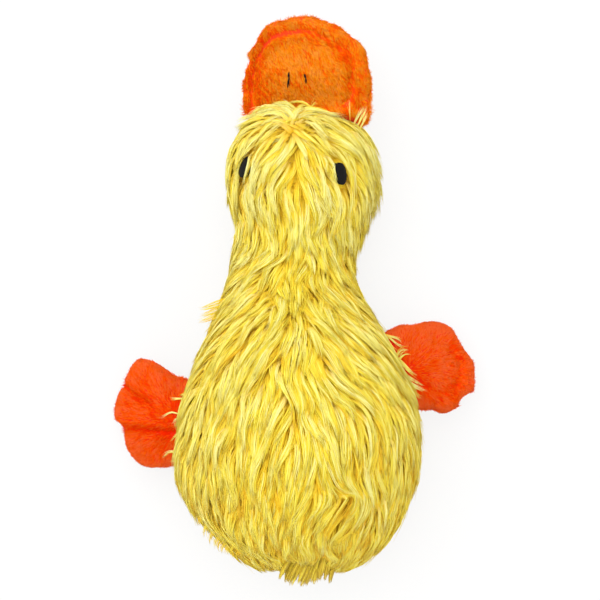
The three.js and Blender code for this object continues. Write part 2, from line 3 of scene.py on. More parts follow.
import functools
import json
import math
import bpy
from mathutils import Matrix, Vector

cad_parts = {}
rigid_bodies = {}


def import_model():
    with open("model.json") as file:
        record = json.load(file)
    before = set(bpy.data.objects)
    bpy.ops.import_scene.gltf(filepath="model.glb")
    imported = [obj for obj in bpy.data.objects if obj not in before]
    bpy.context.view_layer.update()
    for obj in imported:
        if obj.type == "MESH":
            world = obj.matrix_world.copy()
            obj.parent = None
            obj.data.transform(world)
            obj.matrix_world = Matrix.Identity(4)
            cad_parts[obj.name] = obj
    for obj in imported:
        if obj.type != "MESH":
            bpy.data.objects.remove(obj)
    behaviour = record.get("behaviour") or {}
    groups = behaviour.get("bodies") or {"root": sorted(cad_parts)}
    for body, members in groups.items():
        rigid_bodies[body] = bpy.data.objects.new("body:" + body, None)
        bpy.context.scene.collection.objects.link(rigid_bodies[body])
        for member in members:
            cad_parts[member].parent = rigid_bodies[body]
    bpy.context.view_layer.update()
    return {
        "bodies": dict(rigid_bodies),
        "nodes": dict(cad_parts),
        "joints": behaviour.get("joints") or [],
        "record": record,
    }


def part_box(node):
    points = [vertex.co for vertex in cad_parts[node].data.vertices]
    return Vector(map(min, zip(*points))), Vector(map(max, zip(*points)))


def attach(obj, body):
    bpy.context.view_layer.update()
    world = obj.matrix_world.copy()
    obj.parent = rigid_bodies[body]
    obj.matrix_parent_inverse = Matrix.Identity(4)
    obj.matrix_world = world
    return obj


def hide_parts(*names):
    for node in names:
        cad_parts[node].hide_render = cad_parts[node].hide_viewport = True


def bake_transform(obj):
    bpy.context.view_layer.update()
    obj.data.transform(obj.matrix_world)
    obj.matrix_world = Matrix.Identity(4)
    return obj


bl_info = {
    "name": "Plush duck",
    "version": (1, 0, 0),
    "blender": (4, 5, 0),
    "location": "View3D > Sidebar > Plush duck",
    "description": "Fur, plush, wadding and stitches for the plush duck",
    "category": "Object",
}

import bmesh
import bpy
import numpy as np
from mathutils import Euler, Matrix, Quaternion, Vector, kdtree, noise
from mathutils.bvhtree import BVHTree

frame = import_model()
NODES = frame["nodes"]
JOINTS = {joint["name"]: joint for joint in frame["joints"]}
MM = 0.001
FUR_PANELS = ("back_fur_panel", "belly_fur_panel", "head_fur_left", "head_fur_right")
# Map that holds each strand's shade (U) and the place along it (V)
PILE_MAP = "OFBake"
# Most faces of one piece of pile
PIECE_FACES = 150000


# Sizes and colours that a user would change


class DuckFur(bpy.types.PropertyGroup):
    """Long-pile fur of the body, head and tail."""

    pile_length: bpy.props.FloatProperty(
        name="Pile length",
        description="Length of the fur on the back",
        default=0.029,
        unit="LENGTH",
    )
    pile_height: bpy.props.FloatProperty(
        name="Pile height",
        description="How high the brushed fur lies over its cloth",
        default=0.0085,
        unit="LENGTH",
    )
    root_depth: bpy.props.FloatProperty(
        name="Root depth",
        description="How far the roots of the strands lie inside the cloth",
        default=0.0011,
        unit="LENGTH",
    )
    cloth_depth: bpy.props.FloatProperty(
        name="Cloth depth",
        description="How far the fur's cloth lies inside the packed solids",
        default=0.0052,
        unit="LENGTH",
    )
    cloth_thickness: bpy.props.FloatProperty(
        name="Cloth thickness",
        description="Thickness of the fur's cloth",
        default=0.0012,
        unit="LENGTH",
    )
    lock_spacing: bpy.props.FloatProperty(
        name="Lock spacing",
        description="Least distance between the roots of two locks on the back",
        default=0.0018,
        unit="LENGTH",
    )
    tuft_spacing: bpy.props.FloatProperty(
        name="Tuft spacing",
        description="Least distance between the tufts that the locks gather into",
        default=0.0048,
        unit="LENGTH",
    )
    lock_width: bpy.props.FloatProperty(
        name="Lock width",
        description="Width of a lock at its root",
        default=0.0024,
        unit="LENGTH",
    )
    strand_width: bpy.props.FloatProperty(
        name="Strand width",
        description="Width of one strand of a lock",
        default=0.0004,
        unit="LENGTH",
    )
    strands: bpy.props.IntProperty(
        name="Strands", description="Strands in a lock", default=6, min=3
    )
    wave: bpy.props.FloatProperty(
        name="Wave",
        description="How far a lock swings from side to side",
        default=math.radians(14),
        subtype="ANGLE",
    )
    gathering: bpy.props.FloatProperty(
        name="Gathering",
        description="How closely the locks of a tuft meet at its tip, up to 1",
        default=0.72,
        min=0.0,
        max=1.0,
    )
    seed: bpy.props.IntProperty(
        name="Seed", description="Another number lays the fur another way", default=11
    )


class DuckPlush(bpy.types.PropertyGroup):
    """Short plush of the bill and feet."""

    pile_length: bpy.props.FloatProperty(
        name="Pile length",
        description="Length of the plush on the bill and feet",
        default=0.0036,
        unit="LENGTH",
    )
    strand_width: bpy.props.FloatProperty(
        name="Strand width",
        description="Width of one strand of plush",
        default=0.00034,
        unit="LENGTH",
    )
    strands_per_cm2: bpy.props.IntProperty(
        name="Strands per cm2", description="How densely the plush grows", default=430
    )
    rim_crease: bpy.props.FloatProperty(
        name="Rim crease",
        description="Depth of the sewn crease inside the bill's rim",
        default=0.0030,
        unit="LENGTH",
    )
    toe_crease: bpy.props.FloatProperty(
        name="Toe crease",
        description="Depth of the sewn creases between the toes",
        default=0.0030,
        unit="LENGTH",
    )
    cloth_depth: bpy.props.FloatProperty(
        name="Cloth depth",
        description="How far the cloth of the bill and feet lies inside their forms",
        default=0.0003,
        unit="LENGTH",
    )
    plumping: bpy.props.FloatProperty(
        name="Plumping",
        description="The furthest that the wadding swells the cloth",
        default=0.0018,
        unit="LENGTH",
    )


class DuckColours(bpy.types.PropertyGroup):
    """Colours of the duck, as they look."""

    # Painted light: the lightest locks stand for the crests and upper layers where the light falls
    fur_light: bpy.props.FloatVectorProperty(
        name="Fur, light",
        description="Lightest locks",
        subtype="COLOR_GAMMA",
        default=(1.0, 0.985, 0.66),
    )
    fur: bpy.props.FloatVectorProperty(
        name="Fur",
        description="Most of the fur",
        subtype="COLOR_GAMMA",
        default=(1.0, 0.93, 0.26),
    )
    # Painted shade: the darkest locks lie low in the pile and at the edges of tufts, and the roots
    # take this colour as shade down in the fur
    fur_shade: bpy.props.FloatVectorProperty(
        name="Fur, shade",
        description="Darkest locks and the roots of the fur",
        subtype="COLOR_GAMMA",
        default=(1.0, 0.78, 0.0),
    )
    tail: bpy.props.FloatVectorProperty(
        name="Tail",
        description="Curled tuft at the tail",
        subtype="COLOR_GAMMA",
        default=(0.88, 0.74, 0.10),
    )
    bill: bpy.props.FloatVectorProperty(
        name="Bill",
        description="Plush of the bill",
        subtype="COLOR_GAMMA",
        default=(1.0, 0.61, 0.05),
    )
    # Painted shade: plush down in the bill's crease and at the root of each strand
    bill_shade: bpy.props.FloatVectorProperty(
        name="Bill, shade",
        description="Plush down in the bill's creases",
        subtype="COLOR_GAMMA",
        default=(1.0, 0.27, 0.0),
    )
    foot: bpy.props.FloatVectorProperty(
        name="Feet",
        description="Plush of the feet",
        subtype="COLOR_GAMMA",
        default=(1.0, 0.39, 0.0),
    )
    # Painted shade: plush in the creases of the feet, at their root and at the root of each strand
    foot_shade: bpy.props.FloatVectorProperty(
        name="Feet, shade",
        description="Plush down in the creases of the feet",
        subtype="COLOR_GAMMA",
        default=(1.0, 0.16, 0.0),
    )
    thread: bpy.props.FloatVectorProperty(
        name="Thread",
        description="Embroidery of the eyes and nostrils",
        subtype="COLOR_GAMMA",
        default=(0.045, 0.04, 0.04),
    )
    filling: bpy.props.FloatVectorProperty(
        name="Filling",
        description="Fibre inside the body, head, bill and feet",
        subtype="COLOR_GAMMA",
        default=(0.93, 0.93, 0.91),
    )
    squeaker: bpy.props.FloatVectorProperty(
        name="Squeaker",
        description="Soft plastic of the squeaker",
        subtype="COLOR_GAMMA",
        default=(0.90, 0.88, 0.82),
    )


class DuckStage(bpy.types.PropertyGroup):
    """Camera, floor and light."""

    camera_distance: bpy.props.FloatProperty(
        name="Camera distance",
        description="From the camera to the middle of the duck",
        default=1.25,
        unit="LENGTH",
    )
    view_width: bpy.props.FloatProperty(
        name="View width",
        description="How much the picture takes in, halfway up the duck",
        default=0.345,
        unit="LENGTH",
    )
    view_middle: bpy.props.FloatVectorProperty(
        name="View middle",
        description="Point that the camera looks straight down at",
        subtype="XYZ",
        size=3,
        default=(0.0023, 0.0, 0.045),
    )
    key_power: bpy.props.FloatProperty(
        name="Key light", description="Power of the large lamp", default=13.0, unit="POWER"
    )
    sky: bpy.props.FloatProperty(
        name="Room light", description="Light from all sides", default=1.1
    )


# Finishes: node trees written as expressions


def linear(colour, alpha=1.0):
    """A colour as it looks, turned into the values that light works with."""
    steps = [c / 12.92 if c <= 0.04045 else ((c + 0.055) / 1.055) ** 2.4 for c in colour]
    return (*steps, alpha)


def grey(value):
    return (value, value, value, 1.0)


def ramp_between(*colours):
    """Stops of a ramp with these colours, evenly spaced."""
    last = len(colours) - 1
    return [(i / last, colour) for i, colour in enumerate(colours)]


def darker(colour, share):
    return tuple(c * share for c in colour[:3]) + (1.0,)


def lighter(colour, share):
    return tuple(c + (1 - c) * share for c in colour[:3]) + (1.0,)


class Wire:
    """A socket that can be used in sums."""

    def __init__(self, tree, socket):
        self.tree = tree
        self.socket = socket

    def with_other(self, operation, other):
        return self.tree.node("ShaderNodeMath", {"operation": operation}, {0: self, 1: other})

    def __add__(self, other):
        return self.with_other("ADD", other)

    __radd__ = __add__

    def __mul__(self, other):
        return self.with_other("MULTIPLY", other)

    __rmul__ = __mul__

    def most(self, other):
        return self.with_other("MAXIMUM", other)


class Tree:
    """A node tree that is filled by calls."""

    def __init__(self, owner):
        owner.use_nodes = True
        self.nodes = owner.node_tree.nodes
        self.links = owner.node_tree.links
        self.nodes.clear()

    def node(self, kind, settings=None, values=None, out=0):
        """Adds a node: its settings first, then the values or links of its sockets."""
        made = self.nodes.new(kind)
        for name, value in (settings or {}).items():
            if name == "stops":
                while len(made.color_ramp.elements) < len(value):
                    made.color_ramp.elements.new(0.5)
                for element, (place, colour) in zip(made.color_ramp.elements, value):
                    element.position = place
                    element.color = colour
            else:
                setattr(made, name, value)
        for name, value in (values or {}).items():
            if isinstance(value, Wire):
                self.links.new(value.socket, made.inputs[name])
            else:
                made.inputs[name].default_value = value
        return Wire(self, made.outputs[out])

    def ramp(self, factor, stops):
        return self.node("ShaderNodeValToRGB", {"stops": stops}, {"Fac": factor})

    def blend(self, factor, first, second):
        # Sockets 6 and 7 and output 2 of a Mix node are its colours
        values = {"Factor": factor, 6: first, 7: second}
        return self.node("ShaderNodeMix", {"data_type": "RGBA"}, values, out=2)

    def grain(self, size, detail=3.0):
        """Noise with grains of this size, fixed to the object."""
        place = self.node("ShaderNodeTexCoord", out=3)
        values = {"Vector": place, "Scale": 1.0 / size, "Detail": detail, "Roughness": 0.6}
        return self.node("ShaderNodeTexNoise", None, values)

    def bump(self, height, depth, strength):
        return self.node(
            "ShaderNodeBump", None, {"Height": height, "Distance": depth, "Strength": strength}
        )

    def output(self, surface, kind="ShaderNodeOutputMaterial"):
        self.links.new(surface.socket, self.nodes.new(kind).inputs["Surface"])


def finish(name, build, constants):
    """A material: build gives what changes over its surface, constants the rest."""
    material = bpy.data.materials.new(name)
    tree = Tree(material)
    tree.output(tree.node("ShaderNodeBsdfPrincipled", None, {**build(tree), **constants}))
    return material


def pile_finish(name, root, shades, constants):
    """Pile that runs from painted shade at its root to its own shade, read from the strands' own
    map.
    """

    def build(tree):
        place = tree.node("ShaderNodeUVMap", {"uv_map": PILE_MAP})
        shade = tree.node("ShaderNodeSeparateXYZ", None, {"Vector": place})
        along = Wire(tree, shade.socket.node.outputs["Y"])
        own = tree.ramp(shade, shades)
        # Painted shade: each strand is coloured darker towards its root, deep in the pile
        shade_up_the_strand = tree.ramp(along, [(0.0, grey(0.0)), (0.22, grey(0.45)), (0.5, grey(1.0))])
        return {"Base Color": tree.blend(shade_up_the_strand, root, own)}

    return finish(name, build, constants)


def plush_finish(name, shade, colour):
    """Short pile, with a soft sheen in its own colour."""
    soft = {
        "Roughness": 0.6,
        "Specular IOR Level": 0.02,
        "Sheen Weight": 0.7,
        "Sheen Roughness": 0.5,
        "Sheen Tint": colour,
    }
    # The shade colour is painted shade: it colours the roots of the strands and the dark end of
    # their ramp
    return pile_finish(name, shade, ramp_between(shade, colour, lighter(colour, 0.04)), soft)


def cloth_finish(name, dark, light, grain):
    """Knitted backing cloth, mottled and rough."""

    def build(tree):
        spots = tree.grain(grain * 6)
        knit = tree.grain(grain, detail=2.0)
        return {
            "Base Color": tree.blend(spots, dark, light),
            "Normal": tree.bump(knit, depth=0.0004, strength=0.8),
        }

    return finish(name, build, {"Roughness": 0.95})


def thread_finish(name, colour):
    """Satin embroidery thread, a little lighter where it wears."""

    def build(tree):
        wear = tree.grain(0.0014)
        ply = tree.grain(0.0003, detail=1.0)
        wear_and_edge_light = tuple(min(c * 1.6 + 0.002, 1.0) for c in colour[:3]) + (1.0,)
        return {
            "Base Color": tree.blend(wear, colour, wear_and_edge_light),
            "Roughness": wear * 0.2 + 0.36,
            "Normal": tree.bump(ply, depth=0.0001, strength=0.6),
        }

    return finish(name, build, {"Specular IOR Level": 0.14})


def fibre_finish(name, colour):
    """Loose white fibre, with painted shade: soft grey noise that stands for its hollows."""

    def build(tree):
        hollow_shade = tree.grain(0.009, detail=5.0)
        fibres = tree.grain(0.0012, detail=4.0)
        return {
            "Base Color": tree.blend(hollow_shade, darker(colour, 0.72), colour),
            "Normal": tree.bump(fibres, depth=0.0012, strength=0.9),
        }

    return finish(name, build, {"Roughness": 1.0})


def plastic_finish(name, colour):
    """Soft moulded plastic with a faint bloom."""

    def build(tree):
        bloom = tree.grain(0.006)
        peel = tree.grain(0.0008)
        return {
            "Base Color": tree.blend(bloom, darker(colour, 0.86), colour),
            "Roughness": bloom * 0.2 + 0.38,
            "Normal": tree.bump(peel, depth=0.0001, strength=0.3),
        }

    return finish(name, build, {})


@functools.lru_cache(maxsize=None)
def finishes():
    """Every material of the duck, made once."""
    colours = bpy.context.scene.duck_colours
    light, fur, shade = linear(colours.fur_light), linear(colours.fur), linear(colours.fur_shade)
    tail, thread = linear(colours.tail), linear(colours.thread)
    bill, bill_shade = linear(colours.bill), linear(colours.bill_shade)
    foot, foot_shade = linear(colours.foot), linear(colours.foot_shade)
    silky = {
        "Roughness": 0.5,
        "Specular IOR Level": 0.3,
        "Sheen Weight": 0.45,
        "Sheen Roughness": 0.5,
        "Sheen Tint": (1.0, 0.82, 0.2, 1.0),
    }
    # Painted light and shade of the tail: the darker end colours the edges and roots of its curls,
    # the fur's colour their crests
    curl_light_and_shade = ramp_between(darker(tail, 0.6), tail, fur)
    return {
        "fur": pile_finish("long_pile", shade, ramp_between(shade, fur, light), silky),
        "tail": pile_finish("tail_pile", darker(tail, 0.55), curl_light_and_shade, {"Roughness": 0.55}),
        "bill": plush_finish("bill_pile", bill_shade, bill),
        "foot": plush_finish("foot_pile", foot_shade, foot),
        # The backings take the painted shade colours, as they show only in the shade under the pile
        "fur_cloth": cloth_finish("fur_backing", shade, fur, 0.0012),
        "bill_cloth": cloth_finish("bill_backing", darker(bill_shade, 0.8), bill_shade, 0.0008),
        "foot_cloth": cloth_finish("foot_backing", darker(foot_shade, 0.8), foot_shade, 0.0008),
        "thread": thread_finish("black_satin_thread", thread),
        "filling": fibre_finish("fibre_filling", linear(colours.filling)),
        "squeaker": plastic_finish("squeaker_plastic", linear(colours.squeaker)),
    }


# Sums and meshes


def smoothstep(x, low, high):
    """0 up to low, 1 from high on, and smooth between them."""
    t = np.clip((x - low) / (high - low), 0, 1)
    return t * t * (3 - 2 * t)


def smooth_table(rows):
    """Reads a table smoothly between its rows."""
    at, value = np.array(rows, float).T
    slope = np.gradient(value, at)

    def read(x):
        x = np.clip(x, at[0], at[-1])
        i = np.clip(np.searchsorted(at, x) - 1, 0, len(at) - 2)
        span = at[i + 1] - at[i]
        t = (x - at[i]) / span
        return (
            (2 * t**3 - 3 * t**2 + 1) * value[i]
            + (t**3 - 2 * t**2 + t) * span * slope[i]
            + (3 * t**2 - 2 * t**3) * value[i + 1]
            + (t**3 - t**2) * span * slope[i + 1]
        )

    return read


def unit(vectors):
    return vectors / np.maximum(np.linalg.norm(vectors, axis=-1, keepdims=True), 1e-12)


def object_from(name, points, faces, material, smooth=True):
    mesh = bpy.data.meshes.new(name)
    mesh.from_pydata([tuple(p) for p in points], [], faces)
    mesh.update()
    return object_of(name, mesh, material, smooth)


def object_of(name, mesh, material, smooth=True):
    paint(mesh, material)
    if smooth:
        mesh.shade_smooth()
    made = bpy.data.objects.new(name, mesh)
    bpy.context.scene.collection.objects.link(made)
    return made


def paint(mesh, material):
    mesh.materials.clear()
    mesh.materials.append(material)


def with_modifiers(piece, *modifiers):
    """Gives a piece the mesh that it has after these modifiers, which are then gone."""
    for kind, settings in modifiers:
        modifier = piece.modifiers.new(kind.lower(), kind)
        for name, value in settings.items():
            setattr(modifier, name, value)
    evaluated = piece.evaluated_get(bpy.context.evaluated_depsgraph_get())
    mesh = bpy.data.meshes.new_from_object(evaluated)
    old = piece.data
    piece.modifiers.clear()
    piece.data = mesh
    bpy.data.meshes.remove(old)


def places(mesh, kind="co"):
    """Places of a mesh's points, or with "normal" the ways that they face."""
    found = np.empty(len(mesh.vertices) * 3)
    mesh.vertices.foreach_get(kind, found)
    return found.reshape(-1, 3)


def shape_of(mesh):
    """Points and faces of a mesh, as lists."""
    return [v.co.copy() for v in mesh.vertices], [tuple(p.vertices) for p in mesh.polygons]


def tree_of(points):
    """A tree that finds the nearest of these points."""
    tree = kdtree.KDTree(len(points))
    for i, point in enumerate(points):
        tree.insert(point, i)
    tree.balance()
    return tree


def put(mesh, points):
    mesh.vertices.foreach_set("co", np.asarray(points).ravel())
    mesh.update()


def tube(line, radii, sides):
    """A closed tube along a line of points, with a radius at each."""
    line = [Vector(p) for p in line]
    points, faces = [line[0]], []
    side = None
    for i, place in enumerate(line):
        ahead = (line[min(i + 1, len(line) - 1)] - line[max(i - 1, 0)]).normalized()
        if side is None:
            side = ahead.orthogonal().normalized()
        side = (side - ahead * side.dot(ahead)).normalized()
        other = ahead.cross(side)
        for j in range(sides):
            angle = 2 * math.pi * j / sides
            points.append(place + radii[i] * (math.cos(angle) * side + math.sin(angle) * other))
    points.append(line[-1])

    def at(i, j):
        return 1 + i * sides + j % sides

    for j in range(sides):
        faces.append((0, at(0, j + 1), at(0, j)))
        faces.append((len(points) - 1, at(len(line) - 1, j), at(len(line) - 1, j + 1)))
        for i in range(len(line) - 1):
            faces.append((at(i, j), at(i, j + 1), at(i + 1, j + 1), at(i + 1, j)))
    return points, faces


def joined(shapes):
    """Several shapes, each points and faces, as one."""
    points, faces = [], []
    for more_points, more_faces in shapes:
        start = len(points)
        points += more_points
        faces += [tuple(start + i for i in face) for face in more_faces]
    return points, faces


def scatter(mesh, count, rng):
    """Random places spread evenly over a mesh, the smooth normals there, and its area."""
    mesh.calc_loop_triangles()
    corners = np.empty(len(mesh.loop_triangles) * 3, int)
    mesh.loop_triangles.foreach_get("vertices", corners)
    corners = corners.reshape(-1, 3)
    points, normals = places(mesh), places(mesh, "normal")
    a, b, c = (points[corners[:, i]] for i in range(3))
    area = np.linalg.norm(np.cross(b - a, c - a), axis=1)
    chosen = rng.choice(len(corners), count, p=area / area.sum())
    u, v = rng.random(count), rng.random(count)
    flip = u + v > 1
    u[flip], v[flip] = 1 - u[flip], 1 - v[flip]
    weights = np.stack([1 - u - v, u, v], axis=1)
    spots = np.einsum("ni,nij->nj", weights, points[corners[chosen]])
    ways = unit(np.einsum("ni,nij->nj", weights, normals[corners[chosen]]))
    return spots, ways, area.sum() / 2


def strand_mesh(name, line, side, width, shade, profile, material):
    """Closed strands of three sides, a flat one up.

    line and side hold places and ways across, as (strand, step, 3), and the last step is the
    tip. profile is the width at each step, as a share.
    """
    count, steps = line.shape[0], line.shape[1] - 1
    along = unit(np.gradient(line, axis=1))
    side = unit(side - along * np.sum(side * along, axis=2, keepdims=True))
    other = np.cross(along, side)
    radius = width[:, None] * np.asarray(profile)[None, :] / 2
    points = np.empty((count, steps * 3 + 1, 3), np.float32)
    for corner in range(3):
        angle = math.radians(30 + 120 * corner)
        edge = math.cos(angle) * side + math.sin(angle) * other
        points[:, corner : steps * 3 : 3] = (line + radius[:, :, None] * edge)[:, :steps]
    points[:, -1] = line[:, -1]
    loops, starts, place = [], [], []
    # Each face has a little area in the map, so that its shade can be baked
    v_at = [0.01 + 0.97 * (i // 3) / steps for i in range(steps * 3)] + [0.99]
    u_at = [(-1, 0, 1)[i % 3] for i in range(steps * 3)] + [0]

    def face(corners, lifted=None):
        starts.append(len(loops))
        for corner in corners:
            loops.append(corner)
            place.append((u_at[corner], v_at[corner] + (0.02 if corner == lifted else 0.0)))

    face((2, 1, 0), lifted=1)
    for ring in range(steps - 1):
        for corner in range(3):
            a, b = ring * 3 + corner, ring * 3 + (corner + 1) % 3
            face((a, b, b + 3, a + 3))
    for corner in range(3):
        a, b = (steps - 1) * 3 + corner, (steps - 1) * 3 + (corner + 1) % 3
        face((a, b, steps * 3))
    loops, starts, place = np.array(loops), np.array(starts), np.array(place)
    mesh = bpy.data.meshes.new(name)
    mesh.vertices.add(points.shape[0] * points.shape[1])
    mesh.loops.add(count * len(loops))
    mesh.polygons.add(count * len(starts))
    mesh.vertices.foreach_set("co", points.ravel())

    def repeated(numbers, step):
        """The first strand's numbers, and those of every strand after it."""
        return (numbers[None] + step * np.arange(count)[:, None]).ravel().astype(np.int32)

    mesh.loops.foreach_set("vertex_index", repeated(loops, points.shape[1]))
    mesh.polygons.foreach_set("loop_start", repeated(starts, len(loops)))
    uv = np.empty((count, len(loops), 2), np.float32)
    uv[:, :, 0] = np.clip(shade, 0.02, 0.98)[:, None] + place[None, :, 0] * 0.012
    uv[:, :, 1] = place[None, :, 1]
    layer = mesh.uv_layers.new(name=PILE_MAP)
    layer.data.foreach_set("uv", uv.ravel())
    mesh.update(calc_edges=True)
    mesh.validate()
    return object_of(name, mesh, material)


# Fur's cloth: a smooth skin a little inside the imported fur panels


# Line that the skin is drawn round: along, across and height, in mm
AXIS = (
    (-110, 2.0, 50),
    (-70, 1.0, 50),
    (-30, 0.0, 43),
    (0, -1.8, 35),
    (40, 1.5, 36),
    (75, 4.5, 38),
)
SKIN_SIDES = 108
# Further out than any of the fur, for looking back at it
OUTSIDE = 0.25
# How far the bill is turned on the head
BILL_TURN = math.radians(5)


def head_turn():
    """The head's own frame: its yaw from the neck's hinge and its roll from the bill's."""
    flap, nod = (Vector(JOINTS[name]["axis"]) for name in ("bill_flap", "head_nod"))
    roll = -math.asin(min(max(flap.z / math.cos(BILL_TURN), -1), 1))
    return Euler((0, roll, math.atan2(nod.y, nod.x)), "XYZ").to_matrix()


def skin_rings():
    """Along and tilt of each ring of the skin: fanned at both ends, straight between them."""
    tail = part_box("back_fur_panel")[0].y
    front = max(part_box("head_fur_left")[1].y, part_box("head_fur_right")[1].y)
    rear_middle, front_middle = tail + 0.052, front - 0.034
    rings = [(rear_middle, -math.radians(t)) for t in np.linspace(87, 3, 24)]
    rings += [(y, 0.0) for y in np.linspace(rear_middle, front_middle, 66)]
    return rings + [(front_middle, math.radians(t)) for t in np.linspace(3, 87, 18)]


@functools.lru_cache(maxsize=None)
def skin():
    """The cloth that the long pile grows on, and what it is found by.

    Gives its mesh in the row frame, the same as points and faces, a tree of its points, and how
    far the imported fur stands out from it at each.
    """
    fur = bpy.context.scene.duck_fur
    tree = BVHTree.FromPolygons(*joined([shape_of(NODES[name].data) for name in FUR_PANELS]))
    rings = skin_rings()
    along, across, height = np.array(AXIS).T
    origins, ways, reach = [], [], []
    for y, tilt in rings:
        x = np.interp(y / MM, along, across) * MM
        z = np.interp(y / MM, along, height) * MM
        for j in range(SKIN_SIDES):
            angle = 2 * math.pi * j / SKIN_SIDES
            way = Vector(
                (math.cos(angle) * math.cos(tilt), math.sin(tilt), math.sin(angle) * math.cos(tilt))
            )
            middle = Vector((x, y, z))
            hit = tree.ray_cast(middle + way * OUTSIDE, -way, OUTSIDE)[3]
            origins.append(middle)
            ways.append(way)
            reach.append(OUTSIDE - hit if hit is not None else 0.0)
    shape = (len(rings), SKIN_SIDES)
    reach = np.array(reach).reshape(shape)
    packed = reach
    for _ in range(6):
        ahead = np.vstack([reach[1:], reach[-1:]])
        behind = np.vstack([reach[:1], reach[:-1]])
        reach = (ahead + behind + np.roll(reach, 1, 1) + np.roll(reach, -1, 1) + 2 * reach) / 6
    origins, ways = np.array(origins).reshape(*shape, 3), np.array(ways).reshape(*shape, 3)
    points = (origins + ways * reach[:, :, None]).reshape(-1, 3).tolist()
    points.append(list(origins[0, 0] + np.array([0, -1, 0]) * reach[0].mean()))
    points.append(list(origins[-1, 0] + np.array([0, 1, 0]) * reach[-1].mean()))
    faces = []
    last = len(rings) - 1
    for j in range(SKIN_SIDES):
        k = (j + 1) % SKIN_SIDES
        faces.append((len(points) - 2, k, j))
        faces.append((len(points) - 1, last * SKIN_SIDES + j, last * SKIN_SIDES + k))
        for i in range(last):
            a, b = i * SKIN_SIDES, (i + 1) * SKIN_SIDES
            faces.append((a + j, a + k, b + k, b + j))
    mesh = bpy.data.meshes.new("skin")
    mesh.from_pydata(points, [], faces)
    mesh.update()
    bm = bmesh.new()
    bm.from_mesh(mesh)
    bmesh.ops.recalc_face_normals(bm, faces=bm.faces)
    axes = {"use_axis_x": True, "use_axis_y": True, "use_axis_z": True}
    for _ in range(3):
        bmesh.ops.smooth_vert(bm, verts=bm.verts, factor=0.5, **axes)
    bm.normal_update()
    for vert in bm.verts:
        flank = abs(vert.normal.x) * float(smoothstep(-vert.co.y, 0.03, 0.07))
        vert.co -= vert.normal * fur.cloth_depth * (1 - 0.4 * flank)
    bm.normal_update()
    bm.to_mesh(mesh)
    bm.free()
    mesh.update()
    cloth = shape_of(mesh)
    return mesh, cloth, tree_of(cloth[0][: reach.size]), (packed - reach).ravel()


def fold_at(place):
    """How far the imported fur's folds stand out at a place on the skin; not at all on the head."""
    most = 0.0025
    _, _, tree, folds = skin()
    near = tree.find_n(place, 3)
    fold = sum(folds[i] for _, i, _ in near) / len(near)
    return float(np.clip(fold, -most, most)) if place.y < 0.02 else 0.0


def panel_of(place):
    """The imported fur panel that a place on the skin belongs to."""
    neck = Vector(JOINTS["head_nod"]["pos_m"])
    head_edge, side_seam = panel_edges()
    if place.y > head_edge:
        across = head_turn() @ Vector((1, 0, 0))
        return "head_fur_left" if (place - neck).dot(across) < 0 else "head_fur_right"
    return "back_fur_panel" if place.z > side_seam else "belly_fur_panel"


@functools.lru_cache(maxsize=None)
def panel_edges():
    """Where the head's fur begins, along the duck, and the height of the body's side seam."""
    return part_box("head_fur_left")[0].y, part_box("back_fur_panel")[0].z


def across_neck(piece):
    """Fur, its cloth and the filling, with their transforms baked into their points."""
    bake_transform(piece)


# Pads: bill and feet in their own frames, with Y out from the sewn root


